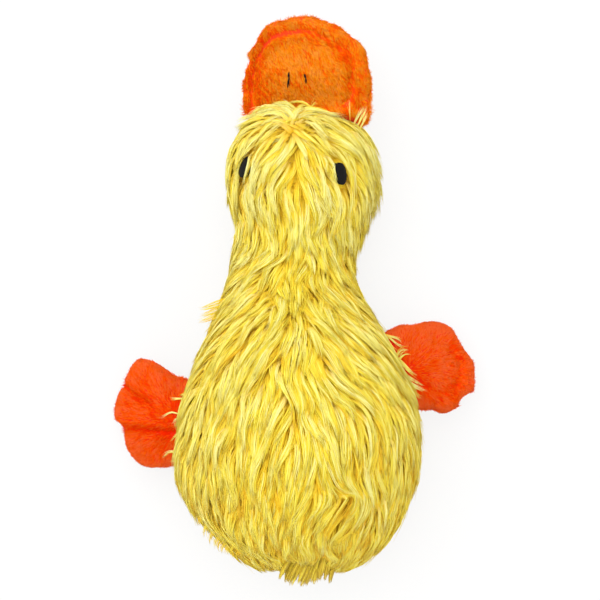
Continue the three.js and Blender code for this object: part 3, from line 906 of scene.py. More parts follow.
class Pad:
    """A padded form that fans out from a straight root.

    Sizes are in mm, and rays in degrees from +Y to +X. A place on a ray is a share of how far
    the form reaches there.
    """

    first_ray, last_ray = -90, 90

    def __init__(self, body, matrix):
        self.body = body
        self.matrix = matrix
        self.reach = smooth_table(OUTLINES[body])

    def rise(self, ray, share, full):
        """Height of the form over its middle, full where it is thickest."""
        outward = self.reach(ray) * share * np.cos(np.radians(ray)) / (0.45 * self.length)
        swell = smoothstep(outward, 0, 1)
        root = 0.9 * self.root
        return (root + (full - root) * swell) * np.sqrt(np.maximum(1 - share**self.edge_power, 0))

    def polar(self, points):
        """Ray, share of the reach and distance for places in the pad's own frame."""
        ray = np.degrees(np.arctan2(points[:, 0], points[:, 1]))
        ray = np.clip(ray, self.first_ray, self.last_ray)
        away = np.hypot(points[:, 0], points[:, 1])
        return ray, away / self.reach(ray), away

    def blank(self):
        """Closed mesh of the pad with the bead at its root, before it is swollen and creased."""
        rays = np.linspace(self.first_ray, self.last_ray, 77)
        shares = np.linspace(0, 1, 15) ** 0.8
        points, faces = [], []
        top = [[0] * len(shares) for _ in rays]
        low = [[0] * len(shares) for _ in rays]
        for i, ray in enumerate(rays):
            for j, share in enumerate(shares):
                away = self.reach(ray) * share
                x, y = away * math.sin(math.radians(ray)), away * math.cos(math.radians(ray))
                top[i][j] = len(points)
                points.append(Vector((x, y, float(self.rise(ray, share, self.top)))))
                low[i][j] = len(points)
                points.append(Vector((x, y, -float(self.rise(ray, share, self.under)))))
        for j in range(len(shares) - 1):
            for i in range(len(rays) - 1):
                faces.append((top[i][j], top[i][j + 1], top[i + 1][j + 1], top[i + 1][j]))
                faces.append((low[i][j], low[i + 1][j], low[i + 1][j + 1], low[i][j + 1]))
            faces.append((top[0][j], low[0][j], low[0][j + 1], top[0][j + 1]))
            faces.append((top[-1][j], top[-1][j + 1], low[-1][j + 1], low[-1][j]))
        steps = [math.radians(a) for a in range(-90, 91, 15)]
        half = self.root_length / 2
        ends = [(-half if a < 0 else half) + self.root * math.sin(a) for a in steps]
        widths = [self.root * max(math.cos(a), 0.02) for a in steps]
        bead = tube([Vector((x, 0, 0)) for x in ends], widths, sides=20)
        points, faces = joined([(points, faces), bead])
        return [p * MM for p in points], faces

    def build(self):
        """The pad's cloth as one closed object in the row frame."""
        plush = bpy.context.scene.duck_plush
        points, faces = self.blank()
        pad = object_from(self.body + "_pad", points, faces, None)
        merge(pad.data)
        with_modifiers(pad, ("REMESH", {"mode": "VOXEL", "voxel_size": 0.0017}))
        with_modifiers(pad, ("SMOOTH", {"factor": 0.5, "iterations": 2}))
        relax(pad.data, most=0.0006)
        plump(pad, plush.plumping)
        with_modifiers(pad, ("SUBSURF", {"levels": 1, "render_levels": 1}))
        crease(pad, self)
        put(pad.data, places(pad.data) - places(pad.data, "normal") * plush.cloth_depth)
        relax(pad.data, most=0.00022)
        pad.data.transform(self.matrix)
        pad.data.update()
        return pad


def merge(mesh):
    """Joins the points that lie in one place, and turns the faces outwards."""
    bm = bmesh.new()
    bm.from_mesh(mesh)
    bmesh.ops.remove_doubles(bm, verts=bm.verts, dist=1e-6)
    bmesh.ops.recalc_face_normals(bm, faces=bm.faces)
    bm.to_mesh(mesh)
    bm.free()
    mesh.update()


def relax(mesh, most):
    """Draws in the few points that stand out from their neighbours by more than this."""
    edges = np.array([e.vertices[:] for e in mesh.edges])
    points = places(mesh)
    count = np.bincount(edges.ravel(), minlength=len(points))[:, None]
    for _ in range(12):
        middle = np.zeros_like(points)
        np.add.at(middle, edges[:, 0], points[edges[:, 1]])
        np.add.at(middle, edges[:, 1], points[edges[:, 0]])
        middle /= count
        out = np.linalg.norm(points - middle, axis=1) > most
        points[out] = middle[out]
    put(mesh, points)


# Cloth of a pad as its wadding presses on it, and how many frames that takes
PLUMPING = {
    "quality": 5,
    "mass": 0.3,
    "tension_stiffness": 12,
    "compression_stiffness": 12,
    "shear_stiffness": 6,
    "bending_stiffness": 0.4,
    "use_pressure": True,
    "uniform_pressure_force": 4,
}
PLUMPING_FRAMES = 20


def plump(pad, most):
    """Swells a closed pad as its wadding does, by simulating its cloth, but none by over most."""
    scene = bpy.context.scene
    before = places(pad.data)
    cloth = pad.modifiers.new("plump", "CLOTH")
    for name, value in PLUMPING.items():
        setattr(cloth.settings, name, value)
    cloth.settings.effector_weights.gravity = 0
    cloth.point_cache.frame_start = 1
    cloth.point_cache.frame_end = PLUMPING_FRAMES
    for frame in range(1, PLUMPING_FRAMES + 1):
        scene.frame_set(frame)
    evaluated = pad.evaluated_get(bpy.context.evaluated_depsgraph_get())
    after = places(evaluated.data)
    pad.modifiers.clear()
    scene.frame_set(1)
    move = after - before
    move -= move.mean(axis=0)
    far = np.linalg.norm(move, axis=1, keepdims=True)
    move *= np.minimum(1, most / np.maximum(far, 1e-9))
    put(pad.data, before + move)


def crease(pad, form):
    """Sinks the sewn creases into a pad and lifts the lumps between them."""
    points = places(pad.data) / MM
    depth, swell = form.relief(points)
    high = np.abs(points[:, 2])
    move = np.minimum(swell, 0.3 * high) - np.minimum(depth, 0.5 * high)
    points[:, 2] += np.sign(points[:, 2]) * move
    put(pad.data, points * MM)


def lumps(points, size):
    """Smooth noise with lumps of this size at each point."""
    return np.array([noise.noise(Vector(p) / size) for p in points])


# How far each pad reaches along its rays, in mm
OUTLINES = {
    "bill": (
        (-90, 36.6), (-78, 39.3), (-66, 41.4), (-54, 45.1), (-48, 47.1), (-42, 51.0), (-36, 52.4),
        (-30, 55.3), (-24, 57.0), (-12, 57.1), (0, 57.2), (12, 55.4), (24, 54.0), (36, 52.3),
        (42, 51.1), (54, 45.6), (66, 42.3), (78, 38.7), (90, 37.5), (104, 36.0),
    ),
    "foot_left": (
        (-90, 25.0), (-78, 27.5), (-66, 31.5), (-54, 36.8), (-42, 39.9), (-30, 41.2), (-18, 41.0),
        (-12, 42.1), (-6, 46.7), (0, 47.7), (12, 47.4), (18, 46.7), (24, 47.1), (36, 48.8),
        (42, 49.1), (48, 45.4), (54, 39.9), (60, 34.6), (66, 30.4), (72, 28.0), (90, 25.0),
    ),
    "foot_right": (
        (-90, 24.5), (-78, 25.3), (-66, 27.3), (-54, 28.7), (-42, 33.0), (-30, 38.1), (-18, 42.5),
        (-6, 42.6), (6, 44.7), (12, 47.1), (24, 47.9), (36, 47.2), (42, 42.7), (54, 41.0),
        (66, 35.9), (72, 30.6), (78, 28.6), (90, 24.5),
    ),
}


class Foot(Pad):
    """A webbed foot, with sewn creases between its toes."""

    length, top, under = 48, 9.5, 9.5
    root, root_length, edge_power = 5, 38.5, 5
    # How long its plush is, as a share
    pile = 1.0

    def __init__(self, body, creases, width, depth, tone):
        joint = JOINTS[body + "_lift"]
        axis = Vector(joint["axis"])
        yaw = Matrix.Rotation(math.atan2(axis.y, axis.x), 4, "Z")
        droop = Matrix.Rotation(math.radians(-27), 4, "X")
        super().__init__(body, Matrix.Translation(Vector(joint["pos_m"])) @ yaw @ droop)
        self.creases = creases
        self.crease_width = width
        self.crease_depth = depth
        self.tone = tone

    def in_crease(self, points, width):
        """1 in the middle of a toe crease, falling to 0 beside it."""
        near = np.zeros(len(points))
        for line in self.creases:
            for start, end in zip(line, line[1:]):
                start, way = np.array(start), np.subtract(end, start)
                along = np.clip((points[:, :2] - start) @ way / (way @ way), 0, 1)
                off = np.linalg.norm(points[:, :2] - start - along[:, None] * way, axis=1)
                near = np.maximum(near, np.exp(-((off / width) ** 2)))
        return near

    def streaks(self, points):
        """Places drawn out along the pile, for its streaks."""
        ray, _, away = self.polar(points)
        return np.stack([ray / 3.2, away / 6, np.sign(points[:, 2])], axis=1)

    def relief(self, points):
        """How deep the creases are and how high the lumps."""
        share = self.polar(points)[1]
        deepest = self.crease_depth * bpy.context.scene.duck_plush.toe_crease / MM
        depth = self.in_crease(points, self.crease_width) * deepest
        return depth, lumps(points, 13) * 0.9 * smoothstep(share, 0.1, 0.4)

    def shade(self, points):
        """Shade of the plush: painted shade in the creases and at the root, painted light towards
        the edge, and a tone that varies in lumps.
        """
        share = self.polar(points)[1]
        crease_shade = 0.55 * self.in_crease(points, 1.3 * self.crease_width)
        shade_at_root = 0.3 * (1 - smoothstep(share, 0.1, 0.5))
        wear_and_edge_light = 0.3 * smoothstep(share, 0.55, 0.95) + 0.25 * lumps(points, 9)
        return self.tone - crease_shade - shade_at_root + wear_and_edge_light

    def flow(self, points):
        """The plush lies outwards from the root."""
        ray = self.polar(points)[0]
        return np.stack([np.sin(np.radians(ray)), np.cos(np.radians(ray)), 0 * ray], axis=1)


class Bill(Pad):
    """The bill, with a sewn crease inside its raised rim."""

    last_ray = 104
    length, top, under = 57.4, 12, 10
    root, root_length, edge_power = 5, 57, 2.6
    pile = 1.4

    def __init__(self):
        place = Matrix.Translation(Vector(JOINTS["bill_flap"]["pos_m"]))
        turn = Matrix.Rotation(BILL_TURN, 4, "Z")
        super().__init__("bill", place @ head_turn().to_4x4() @ turn)

    def from_crease(self, ray, share):
        """Distance outwards from the rim's crease: 0 in it, 1 at the edge."""
        crease = 1 - (10 + 3.2 * np.sin(np.radians(ray))) / self.reach(ray)
        return (share - crease) / (1 - crease)

    def strength(self, ray):
        """How marked the crease is round the bill: faint at its left, deep at its upper right."""
        return np.interp(ray, [-90, -62, -36, -8, 30, 60, 90], [0.35, 0.5, 1.0, 0.6, 1.0, 0.9, 0.6])

    def relief(self, points):
        """How deep the rim's crease is, and how high the rim's roll and the lumps."""
        ray, share, _ = self.polar(points)
        place = self.from_crease(ray, share)
        outward = smoothstep(share * np.cos(np.radians(ray)), 0.02, 0.2)
        groove = np.exp(-((place / 0.3) ** 2)) * self.strength(ray)
        roll = np.exp(-(((place - 0.5) / 0.32) ** 2))
        top = points[:, 2] > 0
        depth = top * outward * groove * bpy.context.scene.duck_plush.rim_crease / MM
        return depth, (top * roll + lumps(points, 16) * 0.8) * outward

    def shade(self, points):
        """Shade of the plush: painted shade in the crease, and darker too beside the nostrils, at
        the lower left and a little on the rim.
        """
        ray, share, _ = self.polar(points)
        place = self.from_crease(ray, share)
        top = points[:, 2] > 0
        wide = 0.38 + 0.45 * smoothstep(-ray, 35, 60)
        groove = np.exp(-((place / wide) ** 2)) * top * np.maximum(self.strength(ray), 0.7)
        rim = smoothstep(place, 0.1, 0.4)
        x, y = points[:, 0], points[:, 1]
        stitched = sum(
            np.exp(-(((x - side + 3.2) / 1.9) ** 2 + ((y - 18) / 5.5) ** 2)) for side in (-4.9, 4.9)
        )
        under_left = np.exp(-(((x + 25) / 8) ** 2 + ((y - 20) / 16) ** 2))
        # The groove term is painted shade in the rim's crease
        dark = 0.6 * groove + 0.1 * rim + 0.3 * (stitched + under_left) * top
        return 0.62 - dark + 0.2 * lumps(points, 8)

    def streaks(self, points):
        """Places drawn out along the pile, for its streaks."""
        x, y, z = points.T
        return np.stack([(0.87 * x + 0.5 * y) / 1.1, (0.5 * x - 0.87 * y) / 5, z / 8], axis=1)

    def flow(self, points):
        """The plush lies back to the lower right, and a little outwards at the rim."""
        ray, share, _ = self.polar(points)
        out = np.stack([np.sin(np.radians(ray)), np.cos(np.radians(ray)), 0 * ray], axis=1)
        rim = smoothstep(self.from_crease(ray, share), 0.3, 0.9)[:, None]
        down = np.array([0.5, -0.87, 0.0])[None]
        return down * (1 - 0.6 * rim) + out * rim * 0.25


# Lines of the creases between the toes, in mm
TOE_CREASES = {
    "foot_left": (((-6.5, 4), (-7.5, 22), (-9.5, 41)), ((7.5, 18), (11, 30), (17.5, 45))),
    "foot_right": (
        ((-1.3, 30.7), (7.8, 33.8), (16.1, 30.9), (21.4, 23.1)),
        ((11.5, 3.1), (17.4, 9.6), (23.1, 20.9)),
    ),
}


@functools.lru_cache(maxsize=None)
def pads():
    """The bill and the feet by their bodies, finished and in the row frame."""
    left, right = TOE_CREASES["foot_left"], TOE_CREASES["foot_right"]
    forms = (
        Bill(),
        Foot("foot_left", left, width=2.4, depth=1.0, tone=0.58),
        Foot("foot_right", right, width=3.8, depth=0.45, tone=0.75),
    )
    for form in forms:
        form.mesh = form.build()
        form.mesh.hide_render = True
    return {form.body: form for form in forms}


def half_of(form, name, upper, material):
    """Upper or under panel of a pad: cut at its seam and given the thickness of cloth."""
    mesh = form.mesh.data.copy()
    bm = bmesh.new()
    bm.from_mesh(mesh)
    bmesh.ops.bisect_plane(
        bm,
        geom=bm.verts[:] + bm.edges[:] + bm.faces[:],
        dist=1e-6,
        plane_co=form.matrix.translation,
        plane_no=form.matrix.to_3x3() @ Vector((0, 0, 1)),
        clear_inner=upper,
        clear_outer=not upper,
    )
    sliver = 2e-4
    bmesh.ops.remove_doubles(bm, verts=bm.verts, dist=sliver)
    bmesh.ops.dissolve_degenerate(bm, edges=bm.edges, dist=sliver)
    bm.to_mesh(mesh)
    bm.free()
    piece = object_of(name, mesh, material)
    with_modifiers(piece, ("SOLIDIFY", {"thickness": 0.0015, "offset": -1.0}))
    piece.data.shade_smooth()
    return piece


def plush_on(form, name, upper, material, rng):
    """Short pile over one panel of a pad."""
    plush = bpy.context.scene.duck_plush
    area = scatter(form.mesh.data, 1, rng)[2]
    spots, ways, _ = scatter(form.mesh.data, int(area * 1e4 * plush.strands_per_cm2), rng)
    back, turn = np.array(form.matrix.inverted()), np.array(form.matrix.to_3x3())
    local = (spots @ back[:3, :3].T + back[:3, 3]) / MM
    keep = (local[:, 2] > 0) == upper
    # None grows behind the root, which the head or body covers
    keep &= (local[:, 1] > -1.0) | (np.hypot(local[:, 0], local[:, 1]) > form.root_length / 2 + 1)
    spots, local, local_ways = spots[keep], local[keep], (ways @ turn)[keep]
    wander = np.array([noise.noise_vector(Vector(p) / 7) for p in local])
    flow = form.flow(local) + wander * 0.6 + rng.normal(0, 0.2, local.shape)
    flow = unit(flow - local_ways * np.sum(flow * local_ways, axis=1, keepdims=True))
    length = plush.pile_length * form.pile * rng.uniform(0.7, 1.1, len(spots))
    flatter = 0.75 * smoothstep(form.polar(local)[1], 0.75, 0.95)
    lift = rng.uniform(0.1, 0.42, len(spots)) * (1 - flatter) / form.pile
    line = np.empty((len(spots), 4, 3))
    for i, s in enumerate(np.linspace(0, 1, 4)):
        rise = lift * s * (1.3 - 0.5 * s) - 0.05
        line[:, i] = flow * (length * s)[:, None] + local_ways * (length * rise)[:, None]
    # Strands that would stick out past the edge are left out, but for those at the root
    ray, _, away = form.polar(local + line[:, -1] / MM)
    neat = (away < form.reach(ray) + 1.4) | (local[:, 1] < 4)
    line = spots[:, None] + line @ turn.T
    side = np.repeat((np.cross(local_ways, flow) @ turn.T)[:, None], 4, axis=1)
    # form.shade paints the pad's light and shade; the streaks and noise vary the tone at random
    shade = form.shade(local) + 0.75 * lumps(form.streaks(local), 1)
    shade += rng.normal(0, 0.17, len(spots))
    width = plush.strand_width * rng.uniform(0.8, 1.2, len(spots))
    rows = (line[neat], side[neat], width[neat], shade[neat])
    return strand_mesh(name, *rows, (1.0, 1.0, 0.8, 0.0), material)


# Long fur


PILE_NAMES = {
    "back_fur_panel": "back_pile",
    "belly_fur_panel": "belly_pile",
    "head_fur_left": "head_left_pile",
    "head_fur_right": "head_right_pile",
}
# Steps of a strand, and its width from the first to the last, as a share
STEPS = 6
TAPER = (0.8, 1.0, 1.0, 0.95, 0.8, 0.5, 0.0)
# Width of a lock from its root to its tip, as a share
GATHER = (1.0, 0.97, 0.86, 0.6, 0.18)
# Places tried for the roots of the tufts, and for those of the locks
TUFT_TRIES, LOCK_TRIES = 9000, 90000
# How far a lock's root is sunk, how high its middle stays over the floor, and its strands
SUNK, OVER_FLOOR, STRANDS_OVER_FLOOR = 0.0008, 0.0008, 0.0004
# Both ends of the parting on the forehead
PARTING = (Vector((-0.0023, 0.1085, 0)), Vector((-0.0023, 0.1045, 0)))
# Middle of the whorl at the lower right of the back
WHORL = Vector((0.029, -0.105, 0))
# Length of the fur along the duck: Y in mm, and the share of the pile's length there
FUR_LENGTHS = (
    (-157, 0.4), (-140, 0.7), (-110, 1.0), (-20, 1.0),
    (30, 0.9), (80, 0.9), (103, 0.75), (109, 0.45),
)
# Middle and spread of where the back's fur gives way to the tail tuft, x and y in mm
TAIL_MIDDLE, TAIL_SPREAD = (5, -153), (19, 13)
# Where the fur lies its own way: x, y and radius in mm, the way that it is pulled,
# how much longer it is and how many mm higher its tips stand
COWLICKS = (
    (-50, -8, 9, (-1.3, -0.2), 0.25, 4.0),
    (-44, 24, 10, (-0.6, -0.3), 0.0, 1.5),
    (42, 84, 13, (1.3, -0.2), 0.2, 6.5),
    (42, 60, 10, (0.9, -0.6), 0.1, 3.0),
    (36, 10, 9, (0.8, -0.3), 0.1, 2.5),
    (58, -24, 11, (1.0, -0.7), 0.3, 2.5),
    (62, -44, 10, (0.9, -0.9), 0.2, 1.5),
    (-62, -62, 11, (-1.0, -0.5), 0.2, 2.0),
    (-64, -84, 12, (-0.9, -0.7), 0.2, 3.5),
    (-60, -100, 10, (-0.9, -0.8), 0.1, 2.5),
)
# An eye's width and length, and how thick the fur is that is kept out of it
EYE_WIDTH, EYE_LENGTH, EYE_DEPTH = 0.0080, 0.0126, 0.012


@functools.lru_cache(maxsize=None)
def eyes():
    """Middle of each eye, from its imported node, and the ways that it faces and lies."""
    found = {}
    turn = head_turn()
    for side, name in ((-1, "eye_left"), (1, "eye_right")):
        low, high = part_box(name)
        angle = math.radians(42) * side
        face = turn @ Vector((math.sin(angle), 0, math.cos(angle)))
        along = Quaternion(face, math.radians(24) * side) @ (turn @ Vector((0, 1, 0)))
        found[name] = {
            "middle": (low + high) / 2 + along * 0.0013,
            "face": face,
            "along": along,
            "across": along.cross(face),
        }
    return found


def cowlicks(place):
    """Pull, more length and higher tips that the cowlicks give at a place."""
    pull, longer, higher = Vector((0, 0, 0)), 0.0, 0.0
    if place.z > 0.012:
        for x, y, radius, way, length, lift in COWLICKS:
            near = math.exp(-(((place.x / MM - x) ** 2 + (place.y / MM - y) ** 2) / radius**2))
            pull += Vector((way[0], way[1], 0)) * (near * 1.5)
            longer += length * near
            higher += lift * MM * near
    return pull, longer, higher


def brushed(place, normal):
    """The way that the fur is brushed at a place on the skin."""
    x, y, _ = place / MM
    fan = np.interp(
        y, [-160, -130, -90, -50, -10, 12, 35], [-0.45, 0.1, 0.5, 0.95, 1.15, 0.6, 0.1]
    )
    wide = np.interp(y, [-120, -60, 0, 40], [62, 66, 44, 38])
    body = Vector((fan * (x - 1.0) / wide, -1, -0.3 * (1 - abs(normal.z))))
    start, end = PARTING
    share = min(max((start.y - place.y) / (start.y - end.y), 0), 1)
    off = place - start.lerp(end, share)
    off.z = 0
    far = off.length
    off.normalize()
    head = off + Vector((0, -1, -0.2)) * min(max(far - 0.004, 0) / 0.022, 1.2)
    part = float(smoothstep(y, 35, 82))
    way = body.normalized().lerp(head.normalized(), part)
    whorl = place - WHORL
    whorl.z = 0
    near = math.exp(-((whorl.length / 0.011) ** 2)) if normal.z > 0 else 0.0
    way += Vector((whorl.y, -whorl.x, 0)).normalized() * (near * 1.6)
    way += cowlicks(place)[0]
    swirl = noise.noise(place / 0.034) * 0.5 + noise.noise(place / 0.013 + Vector((7, 3, 5))) * 0.55
    way -= normal * way.dot(normal)
    if way.length < 1e-4:
        way = normal.orthogonal()
    way.normalize()
    return Quaternion(normal, swirl) @ way


def at_parting(place):
    """How tousled the fur is round the parting on the forehead."""
    off = place - PARTING[0].lerp(PARTING[1], 0.5)
    return 0.9 * math.exp(-((math.hypot(off.x, off.y) / 0.006) ** 2))


def around_eyes(place):
    """Moves a place out of an eye's oval, so that the fur parts round it."""
    wide, long = EYE_WIDTH * 0.62, EYE_LENGTH * 0.58
    for eye in eyes().values():
        off = place - eye["middle"]
        if abs(off.dot(eye["face"])) > EYE_DEPTH:
            continue
        u, v = off.dot(eye["across"]) / wide, off.dot(eye["along"]) / long
        q = math.hypot(u, v)
        if 1e-6 < q < 1:
            more = 1 / q - 1
            place = place + eye["across"] * (u * wide * more) + eye["along"] * (v * long * more)
    return place


def in_eye(place):
    """Is this place where an eye is stitched?"""
    for eye in eyes().values():
        off = place - eye["middle"]
        u = off.dot(eye["across"]) / (EYE_WIDTH * 0.55)
        v = off.dot(eye["along"]) / (EYE_LENGTH * 0.55)
        if abs(off.dot(eye["face"])) < EYE_DEPTH and math.hypot(u, v) < 1:
            return True
    return False


@functools.lru_cache(maxsize=None)
def obstacles():
    """Skin and pads together, which the fur lies on, and each pad alone by its body."""
    parts = [skin()[1]]
    pad_trees = {}
    for form in pads().values():
        parts.append(shape_of(form.mesh.data))
        pad_trees[form.body] = BVHTree.FromPolygons(*parts[-1])
    return BVHTree.FromPolygons(*joined(parts)), pad_trees


def in_pad(place):
    """Is this place covered by the bill or a foot?"""
    for tree in obstacles()[1].values():
        near, normal, _, _ = tree.find_nearest(place, 0.02)
        if near is not None and (place - near).dot(normal) < 0:
            return True
    return False


def roots(spacing, tries, rng):
    """Places on the skin, no two closer than the spacing, which is wider under the belly."""
    spots, ways, _ = scatter(skin()[0], tries, rng)
    belly_spacing = spacing * 1.6
    cell = belly_spacing
    taken, kept = {}, []
    around = [(i, j, k) for i in (-1, 0, 1) for j in (-1, 0, 1) for k in (-1, 0, 1)]
    for spot, way in zip(spots, ways):
        place, normal = Vector(spot), Vector(way)
        gap = belly_spacing if hidden(place, normal) else spacing
        key = tuple(int(math.floor(c / cell)) for c in place)
        close = any(
            (other - place).length_squared < gap * gap
            for i, j, k in around
            for other in taken.get((key[0] + i, key[1] + j, key[2] + k), ())
        )
        if close or in_eye(place) or in_pad(place):
            continue
        taken.setdefault(key, []).append(place)
        kept.append((place, normal))
    return kept


def hidden(place, normal):
    """Is this place on the belly, where nobody looks?"""
    return normal.z < -0.45 and place.z < 0.03


def comb(place, normal, length, lift, tip_lift, turn_by, swing):
    """Line of a lock's middle over the skin and the pads, and the way up from them.

    It is brushed from its root on, turned and swung from side to side, and lies lift high with
    its tip a further tip_lift.
    """
    tree = obstacles()[0]
    line, ups = [place - normal * SUNK], [normal]
    foot, up, last = place, normal, None
    step = length / STEPS
    for k in range(1, STEPS + 1):
        share = k / STEPS
        way = Quaternion(up, turn_by + swing * math.sin(2.6 * math.pi * share)) @ brushed(foot, up)
        if last is not None:
            way = way * 0.65 + last * 0.35
        guess = around_eyes(foot + way * step)
        last = (guess - foot).normalized()
        foot, facing, _, _ = tree.find_nearest(guess)
        up = (up * 0.4 + facing * 0.6).normalized()
        height = lift * math.sin(min(share / 0.45, 1) * math.pi / 2) + tip_lift * share**3
        at = foot + up * height
        at.z = max(at.z, OVER_FLOOR)
        line.append(at)
        ups.append(up.copy())
    return line, ups


def lock_strands(lines, ups, radius, strands, gather, rng, rough, flat=0.45):
    """Strands of each lock, side by side at the root and gathered towards the tip.

    Gives their lines, the ways across them and how near each is to the crest of its lock.
    rough is how far they stray, and flat the height of a lock as a share of its half width.
    """
    lines, ups = np.array(lines), np.array(ups)
    locks, points = lines.shape[0], lines.shape[1]
    along = unit(np.gradient(lines, axis=1))
    side = unit(np.cross(ups, along))
    rise = np.cross(along, side)
    steps = points - 1
    reach = rng.uniform(0.8, 1.0, (locks, strands, 1))
    far = reach * np.linspace(0, 1, points)[None, None] * steps
    low = np.minimum(far.astype(int), steps - 1)
    part = (far - low)[..., None]
    pick = np.arange(locks)[:, None, None]

    def read(values):
        return values[pick, low] * (1 - part) + values[pick, low + 1] * part

    line, sides, rises = read(lines), read(side), read(rise)
    spread = (np.arange(strands) + 0.5) / strands * 2 - 1
    spread = spread + rng.uniform(-0.6, 0.6, (locks, strands)) / strands
    across = spread * radius[:, None]
    dome = np.sqrt(np.maximum(1.05 - spread**2, 0))
    high = dome * rng.uniform(0.1, 1, (locks, strands)) * (flat * radius[:, None])
    shares = np.linspace(0, 1, points)
    closing = np.interp(shares, np.linspace(0, 1, len(gather)), gather)
    lifted = np.interp(shares, [0, 0.2, 1], [0.0, 1.0, 0.8]) * closing
    stray = rng.normal(0, rough, (locks, strands, 2))
    # A few strands stray much further
    stray *= np.where(rng.random((locks, strands, 1)) < 0.07, 3.5, 1.0)
    bend = shares**1.7
    line = (
        line
        + sides * (across[:, :, None] * closing + stray[:, :, :1] * bend)[..., None]
        + rises * (high[:, :, None] * lifted + np.abs(stray[:, :, 1:]) * bend * 0.7)[..., None]
    )
    shape = (locks * strands, points, 3)
    return line.reshape(shape), sides.reshape(shape), (1 - np.abs(spread)).ravel()


def in_pieces(name, line, side, width, shade, profile, material):
    """Strands as several pieces, none too large to handle."""
    steps = line.shape[1] - 1
    # A strand is closed by one face at its root and three at its tip
    most = PIECE_FACES // ((steps - 1) * 6 + 4)
    parts = max(1, math.ceil(len(line) / most))
    made = []
    for i in range(parts):
        at = slice(i * len(line) // parts, (i + 1) * len(line) // parts)
        label = f"{name}_{i + 1}" if parts > 1 else name
        made.append(strand_mesh(label, line[at], side[at], width[at], shade[at], profile, material))
    return made


def fur_length(place, normal):
    """How long the fur is at a place, as a share of the pile's length."""
    share = np.interp((place / MM).y, *zip(*FUR_LENGTHS))
    if normal.z < -0.2:
        share *= np.interp(normal.z, [-0.8, -0.2], [0.55, 1.0])
    return share * (1 - 0.45 * before_tail(place))


def before_tail(place):
    """1 where the fur gives way to the tail tuft, falling to 0 round it."""
    if place.z < 0.03:
        return 0.0
    x = (place.x / MM - TAIL_MIDDLE[0]) / TAIL_SPREAD[0]
    y = (place.y / MM - TAIL_MIDDLE[1]) / TAIL_SPREAD[1]
    return math.exp(-(x**2 + y**2))


def swing_at(place, rng):
    """How far a lock swings, much alike for neighbours."""
    return noise.noise(place / 0.024 + Vector((2, 9, 4))) * 2.4 + rng.normal(0, 0.35)


def clear_of_eyes(line, rng):
    """Which strands leave the eyes open; a few stray over them."""
    clear = np.ones(len(line), bool)
    for eye in eyes().values():
        off = line - np.array(eye["middle"])
        high = off @ np.array(eye["face"])
        seen = np.array((eye["face"] + Vector((0, 0, 1))).normalized())
        off = off - seen * (np.maximum(high, 0) / (seen @ np.array(eye["face"])))[..., None]
        u = off @ np.array(eye["across"]) / (EYE_WIDTH * 0.5)
        v = off @ np.array(eye["along"]) / (EYE_LENGTH * 0.5)
        over = (np.hypot(u, v) < 0.95) & (np.abs(high) < 0.014)
        clear &= ~over.any(axis=1) | (rng.random(len(line)) < 0.015)
    return clear


def grow_tufts(rng):
    """The middle lock of each tuft: its root, way and line, its layer and its tint."""
    fur = bpy.context.scene.duck_fur
    guides = []
    for place, normal in roots(fur.tuft_spacing, TUFT_TRIES, rng):
        _, longer, higher = cowlicks(place)
        length = fur.pile_length * (fur_length(place, normal) + longer) * rng.uniform(0.9, 1.15)
        layer = rng.random()
        low = 1 - 0.7 * before_tail(place)
        lift = fur.pile_height * (0.6 + 0.4 * layer) * low + fold_at(place)
        tip = higher + max(0.0, rng.normal(0, 0.0014))
        turn = rng.normal(0, 0.13 + at_parting(place))
        line, _ = comb(place, normal, length, lift, tip, turn, fur.wave * swing_at(place, rng))
        way = (line[-1] - line[0]).normalized()
        guides.append((place, way, np.array(line), layer, rng.normal(0, 1)))
    return guides


def grow_locks(guides, rng):
    """Locks that lean to the nearest tuft, by panel: line, ways up and shade."""
    fur = bpy.context.scene.duck_fur
    tree = tree_of([guide[0] for guide in guides])
    groups = {name: [] for name in FUR_PANELS}
    pull = (fur.gathering * smoothstep(np.linspace(0, 1, STEPS + 1), 0.1, 0.95))[:, None]
    for place, normal in roots(fur.lock_spacing, LOCK_TRIES, rng):
        _, longer, higher = cowlicks(place)
        length = fur.pile_length * (fur_length(place, normal) + longer) * rng.uniform(0.75, 1.1)
        middle, way, target, layer, tint = guides[tree.find(place)[1]]
        off = place - middle
        aside = min((off - way * off.dot(way)).length / (0.55 * fur.tuft_spacing), 1)
        layer = 0.6 * layer + 0.4 * rng.random()
        fold = fold_at(place)
        low = 1 - 0.7 * before_tail(place)
        lift = fur.pile_height * (0.55 + 0.45 * layer) * (1.1 - 0.3 * aside) * low + fold
        turn = rng.normal(0, 0.12 + 0.7 * at_parting(place))
        line, ups = comb(place, normal, length, lift, higher, turn, fur.wave * swing_at(place, rng))
        line = np.array(line)
        line = line + (target - line) * pull
        # Painted light and shade: lower layers and the edges of a tuft darker, the crests of the
        # folds lighter; the fur is also darker towards the tail and lighter on the head
        shade = 0.5 + 0.04 * tint + 0.35 * (layer - 0.5) + 0.45 * (0.5 - aside) + 60 * fold
        shade += rng.normal(0, 0.05) - 0.16 * smoothstep(-place.y, 0.03, 0.12)
        shade += 0.1 * smoothstep(place.y, 0.03, 0.06)
        groups[panel_of(place)].append((line, ups, shade))
    return groups


